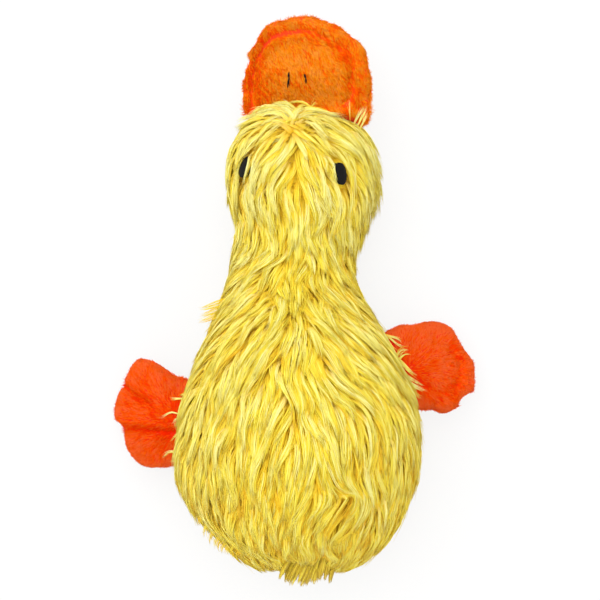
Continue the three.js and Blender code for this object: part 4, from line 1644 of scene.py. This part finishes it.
def grow_fur():
    """Tufts first, then the locks round them, then their strands: pieces by panel."""
    fur = bpy.context.scene.duck_fur
    rng = np.random.default_rng(fur.seed)
    made = {}
    for panel, locks in grow_locks(grow_tufts(rng), rng).items():
        locks.sort(key=lambda lock: lock[0][0][1])
        strands = fur.strands if panel != "belly_fur_panel" else max(4, fur.strands - 2)
        radius = fur.lock_width / 2 * rng.uniform(0.8, 1.25, len(locks))
        lines, ups = [lock[0] for lock in locks], [lock[1] for lock in locks]
        line, side, crest = lock_strands(lines, ups, radius, strands, GATHER, rng, rough=0.0005)
        line[:, :, 2] = np.maximum(line[:, :, 2], STRANDS_OVER_FLOOR)
        clear = clear_of_eyes(line, rng)
        # Painted highlight on the crest of each lock and painted shade at its edges
        shade = np.repeat([lock[2] for lock in locks], strands) + 0.3 * (crest - 0.4)
        shade += rng.normal(0, 0.08, len(line))
        width = fur.strand_width * rng.uniform(0.75, 1.2, len(line))
        rows = (line[clear], side[clear], width[clear], shade[clear])
        made[panel] = in_pieces(PILE_NAMES[panel], *rows, TAPER, finishes()["fur"])
    return made


# Locks that are laid one by one, over the bill's root and the feet, left of the neck and at the
# lower left: the bodies and joint that they lie across, or one body and no joint, the panel
# that they grow from, how many side by side, mm above what they lie on, then each lock's half
# width and the places that it passes, in mm
LAID = {
    "foot_left_wisps": (
        "body", "foot_left", "foot_left_lift", "back_fur_panel", 1, 1.2,
        (
            (0.5, ((-62.2, -56.7), (-66.2, -56.9), (-73.7, -57.2))),
            (0.5, ((-60.3, -51.8), (-63.9, -53.6), (-68.0, -55.7))),
            (0.5, ((-64.3, -67.4), (-68.0, -65.9), (-71.1, -64.6), (-79.9, -68.5))),
            (0.5, ((-62.1, -69.6), (-66.0, -69.0), (-69.1, -68.5), (-71.9, -73.1))),
            (0.5, ((-61.7, -70.0), (-65.7, -70.6), (-69.1, -71.1), (-70.6, -74.6))),
            (0.5, ((-63.5, -73.1), (-66.5, -75.7), (-70.1, -78.8), (-73.4, -82.3))),
            (0.5, ((-64.8, -88.9), (-68.8, -88.3), (-72.7, -87.7), (-78.5, -92.6))),
            (0.5, ((-64.7, -91.0), (-68.5, -92.3), (-73.7, -94.1))),
        ),
    ),
    "foot_right_wisps": (
        "body", "foot_right", "foot_right_lift", "back_fur_panel", 1, 1.2,
        (
            (0.6, ((51.0, -20.1), (54.9, -21.2), (58.9, -22.3), (62.2, -25.0))),
            (0.6, ((52.5, -20.7), (55.6, -23.2), (59.3, -26.1), (62.7, -27.4))),
            (0.6, ((57.5, -36.5), (60.3, -33.6), (62.4, -31.4), (67.3, -31.2))),
            (0.6, ((56.4, -34.5), (58.9, -31.4), (61.1, -28.7), (66.0, -28.7))),
            (1.0, ((57.4, -32.8), (61.1, -36.2), (67.3, -42.0), (70.8, -43.8))),
            (1.0, ((58.8, -40.1), (62.9, -42.9), (68.2, -46.5), (74.9, -50.0))),
            (1.0, ((60.8, -45.1), (65.1, -47.7), (70.4, -50.9), (76.6, -53.5))),
            (1.0, ((62.3, -48.3), (66.0, -51.7), (69.5, -54.9), (73.5, -57.5))),
        ),
    ),
    "brow_left_locks": (
        "head", "bill", "bill_flap", "head_fur_left", 3, 4.2,
        (
            (1.0, ((-1.1, 97.7), (-5.2, 103.5), (-11.5, 106.9), (-19.5, 105.8), (-26.4, 100.0))),
            (1.2, ((-2.3, 94.3), (-8.6, 100.0), (-16.1, 101.8), (-23.0, 97.7), (-28.7, 90.3))),
            (0.9, ((0.0, 98.9), (-4.0, 104.6), (-8.6, 107.5), (-16.1, 108.1))),
            (1.0, ((1.1, 97.2), (-1.7, 104.1), (-5.2, 109.2), (-10.9, 111.5))),
            (0.9, (
                (0.6, 102.3), (-3.4, 108.1), (-8.6, 111.5),
                (-14.9, 111.5), (-21.3, 108.1), (-26.4, 104.1),
            )),
            (1.1, (
                (-0.6, 101.2), (-5.2, 106.4), (-12.1, 109.2),
                (-19.5, 106.9), (-25.9, 102.3), (-30.5, 97.2),
            )),
            (0.8, ((2.3, 103.5), (-1.1, 109.2), (-6.3, 112.7), (-11.5, 112.7), (-17.2, 110.4))),
            (1.2, (
                (-1.1, 100.6), (-6.9, 104.6), (-14.4, 106.4),
                (-21.8, 102.9), (-28.2, 97.2), (-32.2, 91.4),
            )),
            (1.2, ((-1.7, 98.3), (-8.6, 102.9), (-15.5, 103.5), (-21.8, 98.9), (-27.0, 92.6))),
            (1.0, ((-4.6, 105.2), (-10.9, 109.8), (-18.4, 110.4), (-24.7, 106.9), (-29.3, 102.3))),
            (0.9, ((-6.9, 102.3), (-13.8, 105.8), (-21.3, 105.2), (-27.6, 100.6), (-33.3, 94.3))),
            (0.8, ((-2.9, 106.9), (-6.9, 110.4), (-12.6, 111.0), (-19.5, 109.2), (-27.0, 106.4))),
            (0.9, ((-3.4, 95.4), (-6.9, 92.0), (-13.8, 90.3), (-19.5, 84.5))),
            (1.0, ((-4.6, 92.6), (-9.8, 88.0), (-16.1, 80.5), (-19.5, 73.6))),
            (0.9, ((1.1, 100.0), (-2.9, 107.5), (-6.9, 112.1), (-9.2, 113.3))),
            (0.5, ((-17.2, 106.4), (-24.7, 106.4), (-30.5, 104.6), (-35.1, 102.3))),
            (0.5, ((-18.4, 104.1), (-26.4, 102.9), (-32.2, 100.6), (-35.6, 97.7))),
        ),
    ),
    "brow_right_locks": (
        "head", "bill", "bill_flap", "head_fur_right", 3, 4.2,
        (
            (1.0, ((-1.7, 97.2), (2.9, 102.9), (9.8, 105.2), (17.8, 102.9), (25.3, 97.7))),
            (1.2, ((-0.6, 94.3), (5.8, 100.0), (13.8, 99.5), (21.3, 94.3), (27.0, 86.8))),
            (0.9, ((-2.9, 98.9), (1.1, 104.1), (6.9, 106.9), (13.8, 106.9))),
            (1.0, ((-3.4, 97.7), (-1.7, 103.5), (1.1, 108.7), (5.8, 109.8))),
            (1.0, (
                (-2.9, 101.8), (1.7, 108.1), (9.2, 109.2),
                (16.7, 106.9), (24.1, 105.8), (31.0, 104.1),
            )),
            (1.1, (
                (-2.3, 100.6), (4.0, 106.4), (11.5, 106.9),
                (19.5, 104.6), (27.0, 102.3), (33.9, 98.9),
            )),
            (1.2, (
                (-1.1, 100.6), (5.2, 104.6), (12.6, 104.1),
                (20.7, 100.6), (28.2, 96.0), (34.5, 90.8),
            )),
            (1.2, ((0.0, 100.0), (5.8, 102.9), (13.2, 100.0), (20.7, 94.9), (26.4, 88.5))),
            (0.8, ((-3.4, 104.1), (1.7, 109.2), (7.5, 110.4), (13.8, 108.7), (20.7, 106.4))),
            (1.0, ((9.2, 107.5), (16.1, 106.9), (23.0, 104.6), (29.9, 101.2), (35.1, 96.0))),
            (0.9, ((3.4, 108.1), (10.3, 108.7), (18.4, 105.8), (25.9, 101.2), (31.6, 94.9))),
            (0.9, ((-4.0, 102.3), (-3.4, 108.1), (-4.6, 112.7), (-8.6, 113.8))),
            (0.9, ((-2.3, 101.2), (-0.6, 107.5), (2.9, 111.0), (6.9, 111.0))),
            (0.9, ((-1.7, 94.3), (1.7, 88.5), (5.2, 81.6), (5.8, 73.6))),
            (0.9, ((0.0, 95.4), (4.6, 90.8), (10.3, 84.5), (13.8, 77.0))),
        ),
    ),
    "flank_fringe": (
        "body", None, None, "back_fur_panel", 2, 4.0,
        (
            (2.4, ((-34.5, -0.6), (-46.0, -4.0), (-51.2, -5.8), (-55.2, -6.3))),
            (2.4, ((-35.6, -3.5), (-47.1, -9.8), (-51.7, -12.1), (-56.9, -13.8))),
            (2.0, ((-37.4, -7.5), (-46.0, -14.4), (-49.4, -16.7), (-52.3, -19.5))),
            (2.0, ((-34.5, -2.3), (-46.0, -6.9), (-51.7, -9.2), (-55.2, -10.3))),
            (1.1, ((-44.3, -120.2), (-49.4, -126.5), (-52.3, -131.7), (-52.3, -135.7))),
            (1.1, ((-42.0, -124.2), (-47.1, -130.5), (-50.0, -135.7), (-49.4, -139.7))),
            (1.2, ((-39.1, -127.6), (-43.7, -134.0), (-46.6, -138.6), (-46.0, -142.6))),
            (1.2, ((-35.6, -130.5), (-40.2, -136.8), (-43.1, -141.4), (-42.0, -145.5))),
            (1.2, ((-32.2, -134.0), (-36.8, -139.7), (-39.1, -143.8), (-37.4, -147.2))),
            (1.1, ((-28.7, -136.8), (-32.8, -142.0), (-35.1, -146.0), (-33.3, -149.5))),
            (1.0, ((-47.7, -115.0), (-52.3, -121.3), (-54.6, -125.9), (-54.6, -129.4))),
        ),
    ),
    "brow_wisps": (
        "head", "bill", "bill_flap", "head_fur_right", 1, 3.4,
        (
            (0.7, ((9.2, 108.1), (6.9, 112.4), (2.9, 114.1), (-2.9, 113.8), (-8.6, 112.4))),
            (0.3, ((8.6, 108.1), (9.2, 111.5), (12.6, 114.1))),
            (0.2, ((31.0, 101.2), (30.8, 109.2), (30.2, 116.7))),
            (0.5, ((31.0, 97.2), (34.5, 103.5), (36.8, 108.1), (40.2, 112.7))),
            (0.5, ((33.3, 96.6), (37.4, 104.1), (39.7, 108.7), (40.8, 112.1))),
            (0.45, ((35.1, 95.4), (38.5, 101.8), (40.2, 105.8), (42.0, 109.2))),
        ),
    ),
}


# Height in m that places are looked down at from, the lowest ground that a lock is laid on
# from above, and the height inside the skin that its nearest place is else sought from
LOOK_DOWN, LOWEST_GROUND, INSIDE = 0.2, 0.02, 0.042
# Steepest slope of the ground under a laid lock
STEEPEST = 0.6


def below(x, y):
    """The place on the skin or pads straight below, or none."""
    return obstacles()[0].ray_cast(Vector((x, y, LOOK_DOWN)), Vector((0, 0, -1)), LOOK_DOWN)[0]


def laid(points, lift):
    """A lock's line over whatever lies below the places that it passes, or beside them."""
    far = np.concatenate([[0], np.cumsum(np.linalg.norm(np.diff(points, axis=0), axis=1))])
    at = np.linspace(0, far[-1], STEPS + 1)
    x, y = (smooth_table(list(zip(far, points[:, i])))(at) * MM for i in (0, 1))
    ground = []
    for place in zip(x, y):
        found = below(*place)
        if not found or found.z < LOWEST_GROUND:
            found = obstacles()[0].find_nearest(Vector((*place, INSIDE)))[0]
        ground.append(found.z)
    ground, drop = np.array(ground), STEEPEST * MM * (far[-1] / STEPS)
    for i in range(1, STEPS + 1):
        ground[i] = max(ground[i], ground[i - 1] - drop)
    for i in reversed(range(STEPS)):
        ground[i] = max(ground[i], ground[i + 1] - drop)
    ground[1:-1] = (ground[:-2] + 2 * ground[1:-1] + ground[2:]) / 4
    high = ground + lift * MM * np.linspace(1.2, 0.8, STEPS + 1)
    return np.stack([x, y, high], axis=1)


def lay_locks(name, rng):
    """One piece of laid locks, which rides on its one body, or keeps its transform baked in where it
    lies across a joint.
    """
    body, end_body, joint, panel, copies, lift, rows = LAID[name]
    strands = 8
    lines, radius = [], []
    for wide, points in rows:
        for _ in range(copies):
            shift = rng.normal(0, 0.7 if copies > 1 else 0, 2)
            lines.append(laid(np.array(points) + shift, lift * rng.uniform(0.7, 1.25)))
            radius.append(wide * MM)
    ups = np.tile(np.array([0.0, 0.0, 1.0]), (len(lines), STEPS + 1, 1))
    line, side, crest = lock_strands(
        lines, ups, np.array(radius), strands, GATHER, rng, rough=0.0006
    )
    # Those on the brow and feet catch the light, and those at the sides lie in shade
    tone = 0.78 if joint else 0.3
    shade = np.repeat(rng.uniform(tone - 0.17, tone + 0.17, len(lines)), strands)
    # Painted highlight on the crest of each lock and painted shade at its edges
    shade += 0.3 * (crest - 0.5) + rng.normal(0, 0.1, len(line))
    width = bpy.context.scene.duck_fur.strand_width * rng.uniform(0.75, 1.2, len(line))
    width = np.minimum(width, np.repeat(radius, strands) * 0.6)
    piece = strand_mesh(name, line, side, width, shade, TAPER, finishes()["fur"])
    if joint:
        start = Vector(JOINTS[joint]["pos_m"])
        end = start + pads()[end_body].matrix.to_3x3() @ Vector((0, 0.012, 0))
        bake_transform(piece)
    else:
        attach(piece, body)
    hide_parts(panel)


# Operators


class DUCK_OT_stage(bpy.types.Operator):
    """Camera, floor, lamp and room light"""

    bl_idname = "duck.stage"
    bl_label = "Stage"

    LAMP_PLACE, LAMP_AIM, LAMP_SIZE = (-0.35, 0.6, 1.45), (0, 0, 0.04), 1.6
    FLOOR_HALF = 3.0

    def execute(self, context):
        stage = context.scene.duck_stage
        context.scene.view_settings.view_transform = "Standard"
        data = bpy.data.cameras.new("camera")
        data.sensor_width = 36
        data.lens = data.sensor_width * stage.camera_distance / stage.view_width
        data.clip_end = 10
        camera = bpy.data.objects.new("camera", data)
        camera.location = Vector(stage.view_middle) + Vector((0, 0, stage.camera_distance))
        context.scene.collection.objects.link(camera)
        context.scene.camera = camera

        lamp = bpy.data.lights.new("key", "AREA")
        lamp.shape = "DISK"
        lamp.size = self.LAMP_SIZE
        lamp.energy = stage.key_power
        key = bpy.data.objects.new("key", lamp)
        key.location = self.LAMP_PLACE
        ahead = Vector(self.LAMP_AIM) - key.location
        key.rotation_euler = ahead.to_track_quat("-Z", "Y").to_euler()
        context.scene.collection.objects.link(key)

        half = self.FLOOR_HALF
        corners = [(-half, -half, 0), (half, -half, 0), (half, half, 0), (-half, half, 0)]
        floor = object_from("floor", corners, [(0, 1, 2, 3)], self.floor_finish(), smooth=False)
        self.room(context, stage.sky)
        return {"FINISHED"}

    @staticmethod
    def seen(tree):
        """1 where the camera sees the stage, by itself or in metal or glass."""
        path = tree.node("ShaderNodeLightPath")
        outs = path.socket.node.outputs
        camera, glossy = Wire(tree, outs["Is Camera Ray"]), Wire(tree, outs["Is Glossy Ray"])
        return camera.most(glossy).most(Wire(tree, outs["Is Transmission Ray"]))

    def floor_finish(self):
        """White paper to the camera, with the duck's shadow on it."""
        material = bpy.data.materials.new("pale_floor")
        tree = Tree(material)
        paper = tree.node("ShaderNodeBsdfDiffuse", None, {"Color": grey(0.82)})
        bright = tree.node("ShaderNodeEmission", None, {"Color": grey(1.0), "Strength": 1.0})
        share = self.seen(tree) * 0.82
        tree.output(tree.node("ShaderNodeMixShader", None, {0: share, 1: paper, 2: bright}))
        return material

    def room(self, context, strength):
        """Even light from all sides, and white behind the duck."""
        world = bpy.data.worlds.new("room")
        context.scene.world = world
        tree = Tree(world)
        light = tree.node("ShaderNodeBackground", None, {"Color": grey(1.0), "Strength": strength})
        white = tree.node("ShaderNodeBackground", None, {"Color": grey(1.0), "Strength": 1.0})
        mixed = tree.node("ShaderNodeMixShader", None, {0: self.seen(tree), 1: light, 2: white})
        tree.output(mixed, "ShaderNodeOutputWorld")


class DUCK_OT_cloth(bpy.types.Operator):
    """Backing cloth of the four fur panels"""

    bl_idname = "duck.cloth"
    bl_label = "Fur cloth"

    def execute(self, context):
        fur = context.scene.duck_fur
        mesh, (points, faces), _, _ = skin()
        raised = [p + v.normal * fur.root_depth for p, v in zip(points, mesh.vertices)]
        shares = {name: [] for name in FUR_PANELS}
        for face in faces:
            middle = sum((points[i] for i in face), Vector()) / len(face)
            shares[panel_of(middle)].append(face)
        for panel, own in shares.items():
            used = sorted({i for face in own for i in face})
            new = {old: i for i, old in enumerate(used)}
            shape = [raised[i] for i in used], [tuple(new[i] for i in face) for face in own]
            name = panel.replace("_panel", "") + "_cloth"
            cloth = object_from(name, *shape, finishes()["fur_cloth"])
            with_modifiers(cloth, ("SOLIDIFY", {"thickness": fur.cloth_thickness, "offset": -1.0}))
            cloth.data.shade_smooth()
            across_neck(cloth)
            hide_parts(panel)
        return {"FINISHED"}


class DUCK_OT_fur(bpy.types.Operator):
    """Long pile of the body and head"""

    bl_idname = "duck.fur"
    bl_label = "Long fur"

    def execute(self, context):
        for panel, pieces in grow_fur().items():
            for piece in pieces:
                across_neck(piece)
                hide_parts(panel)
        rng = np.random.default_rng(context.scene.duck_fur.seed + 3)
        for name in LAID:
            lay_locks(name, rng)
        return {"FINISHED"}


class DUCK_OT_tail(bpy.types.Operator):
    """Curled tuft at the tail"""

    bl_idname = "duck.tail"
    bl_label = "Tail tuft"

    # Each lock's tip, x and y in mm, how far it leans to the duck's left, and its half width
    LOCKS = (
        (-9.4, -160.3, 9.0, 1.3),
        (-6.9, -162.9, 9.0, 1.7),
        (-4.0, -163.0, 8.5, 1.2),
        (-1.7, -164.9, 8.0, 1.8),
        (1.0, -163.4, 7.0, 1.3),
        (2.9, -165.4, 6.5, 1.8),
        (6.0, -165.0, 5.5, 1.7),
        (8.4, -162.8, 5.0, 1.2),
        (10.4, -164.0, 4.0, 1.7),
        (13.3, -161.2, 3.0, 1.3),
        (16.2, -161.4, 2.5, 1.2),
        (19.0, -163.8, 3.5, 1.3),
    )
    # The way of a lock: share of its lean, mm ahead of the tip and mm above the cloth, or above
    # the base where there is none, and the way up
    WAY = (
        (0.0, 19.0, 0.5, (0, 0.2, 1)),
        (0.2, 15.0, 4.6, (0, 0, 1)),
        (0.42, 11.0, 6.0, (0, -0.3, 1)),
        (0.62, 7.4, 6.2, (0, -0.5, 0.9)),
        (0.8, 4.2, 5.6, (0, -0.7, 0.7)),
        (0.93, 1.7, 4.6, (0, -0.9, 0.5)),
        (1.0, 0.0, 2.0, (0, -1, 0.2)),
    )

    # Width of a lock from its root to its tip, as a share, and what it is made of
    GATHER = (0.7, 1.0, 1.0, 0.75, 0.15)
    STRANDS, STRAND_WIDTH = 16, 0.00055
    # The most that the cloth under a lock may fall in one step, in mm
    MOST_FALL = 3.2

    def lock_line(self, x, y, lean, shift, drop, layer):
        """Line of one lock over the cloth, in the upper layer 0 or the lower layer 1."""
        line, ground = [], None
        for share, ahead, high, _ in self.WAY:
            across = x + lean * (1 - share) ** 1.5 + shift + 1.2 * layer
            back = y + ahead + 2.5 * layer
            found = below(across * MM, back * MM)
            low = ground - self.MOST_FALL if ground else 0.0
            ground = max(found.z / MM if found else 0.0, low)
            line.append(Vector((across, back, ground + high + 0.5 * drop - 2 * layer)) * MM)
        return line

    def execute(self, context):
        rng = np.random.default_rng(context.scene.duck_fur.seed + 1)
        lines, radius = [], []
        for x, y, lean, wide in self.LOCKS:
            for layer in range(2):
                shift, drop = rng.normal(0, (0.5, 1.0))
                lines.append(self.lock_line(x, y, lean, shift, drop, layer))
                radius.append(wide * MM)
        ups = [[up for _, _, _, up in self.WAY]] * len(lines)
        line, side, crest = lock_strands(
            lines, ups, np.array(radius), self.STRANDS, self.GATHER, rng, rough=0.0003, flat=0.8
        )
        shade = np.repeat(rng.uniform(0.35, 0.6, len(lines)), self.STRANDS)
        # Painted highlight on the crest of each curl and painted shade at its edges
        shade += 0.6 * (crest - 0.5) + rng.normal(0, 0.1, len(line))
        width = np.full(len(line), self.STRAND_WIDTH)
        tuft = strand_mesh("tail_tuft_pile", line, side, width, shade, TAPER, finishes()["tail"])
        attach(tuft, "body")
        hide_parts("tail_tuft")
        return {"FINISHED"}


class DUCK_OT_plush(bpy.types.Operator):
    """Padded bill and feet with their short plush"""

    bl_idname = "duck.plush"
    bl_label = "Bill and feet"

    # Upper and under panel of each pad
    PANELS = {
        "bill": ("bill_upper_panel", "bill_lower_panel"),
        "foot_left": ("foot_left_upper", "foot_left_sole"),
        "foot_right": ("foot_right_upper", "foot_right_sole"),
    }

    def execute(self, context):
        seed = context.scene.duck_fur.seed + 2
        rng = np.random.default_rng(seed)
        # Without a seed, the noise that the plush wanders by is another one in each run
        noise.seed_set(seed)
        for body, form in pads().items():
            kind = "bill" if body == "bill" else "foot"
            slot = "bill_plush" if body == "bill" else "foot_plush"
            for node, upper in zip(self.PANELS[body], (True, False)):
                label = node.replace("_panel", "")
                cloth = half_of(form, label + "_cloth", upper, finishes()[kind + "_cloth"])
                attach(cloth, form.body)
                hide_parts(node)
                pile = plush_on(form, label + "_plush", upper, finishes()[kind], rng)
                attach(pile, form.body)
                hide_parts(node)
            bpy.data.objects.remove(form.mesh)
        return {"FINISHED"}


class DUCK_OT_stitches(bpy.types.Operator):
    """Embroidered eyes and nostrils"""

    bl_idname = "duck.stitches"
    bl_label = "Embroidery"

    def execute(self, context):
        for name, eye in eyes().items():
            self.eye(name, eye)
        for name in ("nostril_left", "nostril_right"):
            self.nostril(name)
        return {"FINISHED"}

    # Threads of an eye, how far they rise over it, and points along a thread
    EYE_THREADS, DOME, POINTS = 36, 0.0016, 9
    # Rings of the dome under an eye's threads: share of its size, and height
    RINGS = ((1.0, -0.0022), (1.02, -0.0006), (0.8, 0.0003), (0.4, 0.0007))
    RING_SIDES = 28
    # A nostril's stitches: how far to the side, from where to where, and how high
    STITCHES = (
        (-0.42, 0.0, 0.6, 0.2),
        (0.1, 0.1, 1.0, 0.5),
        (0.4, 0.35, 0.85, 0.1),
        (-0.15, 0.45, 1.0, 0.3),
    )

    def eye(self, name, eye):
        """Satin stitch: threads laid side by side over a domed oval."""
        half_width, half_length = EYE_WIDTH / 2, EYE_LENGTH / 2

        def at(u, v, height):
            across, along = eye["across"] * (u * half_width), eye["along"] * (v * half_length)
            return eye["middle"] + across + along + eye["face"] * height

        shapes = []
        for i in range(self.EYE_THREADS):
            v = (i + 0.5) / self.EYE_THREADS * 2 - 1
            reach = math.sqrt(max(1 - v * v, 0))
            slant = half_width * 0.35 * reach / half_length
            line = []
            for k in range(self.POINTS):
                u = (k / (self.POINTS - 1) * 2 - 1) * reach
                rise = self.DOME * math.sqrt(max(1 - 0.92 * (u * u + v * v), 0))
                line.append(at(u, v + u * slant, rise - 0.0004))
            shapes.append(self.thread(line, 0.00027, 0.00012, sides=6))
        points, sides = [], self.RING_SIDES
        for share, height in self.RINGS:
            for j in range(sides):
                angle = 2 * math.pi * j / sides
                points.append(at(share * math.cos(angle), share * math.sin(angle), height))
        last = len(points) - sides
        faces = [tuple(reversed(range(sides))), tuple(range(last, last + sides))]
        for start in range(0, last, sides):
            for j in range(sides):
                a, b = start + j, start + (j + 1) % sides
                faces.append((a, b, b + sides, a + sides))
        shapes.append((points, faces))
        piece = object_from(name + "_stitches", *joined(shapes), finishes()["thread"])
        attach(piece, "head")
        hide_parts(name)

    def thread(self, line, thick, end, sides):
        """A thread along a line, with thinner ends."""
        return tube(line, [end] + [thick] * (len(line) - 2) + [end], sides)

    def nostril(self, name):
        """A few parallel stitches, the left ones longer than the right."""
        low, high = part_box(name)
        middle = (low + high) / 2
        across, along, up = pads()["bill"].matrix.to_3x3().transposed()
        left = name.endswith("left")
        length, lean, thick = (0.0098, 0.0009, 0.00034) if left else (0.0066, -0.0008, 0.00027)
        shapes = []
        for i, (off, start, end, lift) in enumerate(self.STITCHES):
            line = []
            for k in range(self.POINTS):
                share = k / (self.POINTS - 1)
                s = start + (end - start) * share
                bow = math.sin(math.pi * share)
                side = off * thick * 2.6 + 0.00025 * math.sin(3 * s + i) + (s - 0.5) * lean
                rise = 0.0018 * bow + lift * 0.001 * bow
                line.append(middle + along * (length * (s - 0.5)) + across * side + up * rise)
            shapes.append(self.thread(line, thick, thick * 0.6, sides=8))
        piece = object_from(name + "_stitches", *joined(shapes), finishes()["thread"])
        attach(piece, "bill")
        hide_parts(name)


class DUCK_OT_inside(bpy.types.Operator):
    """Fibre filling and the squeaker"""

    bl_idname = "duck.inside"
    bl_label = "Filling and squeaker"

    # Each filling's body and how finely it is remeshed
    FILLINGS = {
        "body_filling": ("body", 0.005),
        "head_filling": ("head", 0.004),
        "bill_wadding": ("bill", 0.0022),
        "foot_left_wadding": ("foot_left", 0.002),
        "foot_right_wadding": ("foot_right", 0.002),
    }
    # How far wadding stays inside its cloth
    CLEAR = 0.0025

    def within(self, points, pad):
        """Points moved to where they are clear of a pad's cloth."""
        for i, point in enumerate(points):
            near, normal, _, _ = pad.find_nearest(Vector(point))
            if (near - Vector(point)).dot(normal) < self.CLEAR:
                points[i] = near - normal * self.CLEAR
        return points

    def execute(self, context):
        for node, (body, voxel) in self.FILLINGS.items():
            mesh = NODES[node].data.copy()
            piece = object_of(node + "_fibre", mesh, finishes()["filling"])
            with_modifiers(piece, ("REMESH", {"mode": "VOXEL", "voxel_size": voxel}))
            with_modifiers(piece, ("SMOOTH", {"factor": 0.5, "iterations": 3}))
            points = places(piece.data)
            shrink = voxel * (0.5 + 0.3 * lumps(points, voxel * 4))
            points = points - places(piece.data, "normal") * shrink[:, None]
            if body in pads():
                points = self.within(points, obstacles()[1][body])
            put(piece.data, points)
            piece.data.shade_smooth()
            paint(piece.data, finishes()["filling"])
            if body in pads():
                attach(piece, body)
            else:
                across_neck(piece)
            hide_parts(node)
        for node in ("squeaker_bulb", "squeaker_reed"):
            paint(NODES[node].data, finishes()["squeaker"])
        return {"FINISHED"}


class DUCK_PT_tools(bpy.types.Panel):
    """Sizes and colours, and a button for each group of pieces"""

    bl_label = "Plush duck"
    bl_idname = "DUCK_PT_tools"
    bl_space_type = "VIEW_3D"
    bl_region_type = "UI"
    bl_category = "Plush duck"

    def draw(self, context):
        layout = self.layout
        for key in GROUPS:
            group = getattr(context.scene, key)
            for name in group.bl_rna.properties.keys():
                if name not in ("rna_type", "name"):
                    layout.prop(group, name)
        for operator in OPERATORS:
            layout.operator(operator.bl_idname)


GROUPS = {
    "duck_fur": DuckFur,
    "duck_plush": DuckPlush,
    "duck_colours": DuckColours,
    "duck_stage": DuckStage,
}
OPERATORS = (
    DUCK_OT_stage,
    DUCK_OT_cloth,
    DUCK_OT_fur,
    DUCK_OT_tail,
    DUCK_OT_plush,
    DUCK_OT_stitches,
    DUCK_OT_inside,
)


def register():
    for group in GROUPS.values():
        bpy.utils.register_class(group)
    for name, group in GROUPS.items():
        setattr(bpy.types.Scene, name, bpy.props.PointerProperty(type=group))
    for operator in OPERATORS:
        bpy.utils.register_class(operator)
    bpy.utils.register_class(DUCK_PT_tools)


def unregister():
    bpy.utils.unregister_class(DUCK_PT_tools)
    for operator in reversed(OPERATORS):
        bpy.utils.unregister_class(operator)
    for name, group in GROUPS.items():
        delattr(bpy.types.Scene, name)
        bpy.utils.unregister_class(group)


def main():
    register()
    bpy.ops.duck.stage()
    bpy.ops.duck.cloth()
    bpy.ops.duck.fur()
    bpy.ops.duck.tail()
    bpy.ops.duck.plush()
    bpy.ops.duck.stitches()
    bpy.ops.duck.inside()


if __name__ == "__main__":
    main()
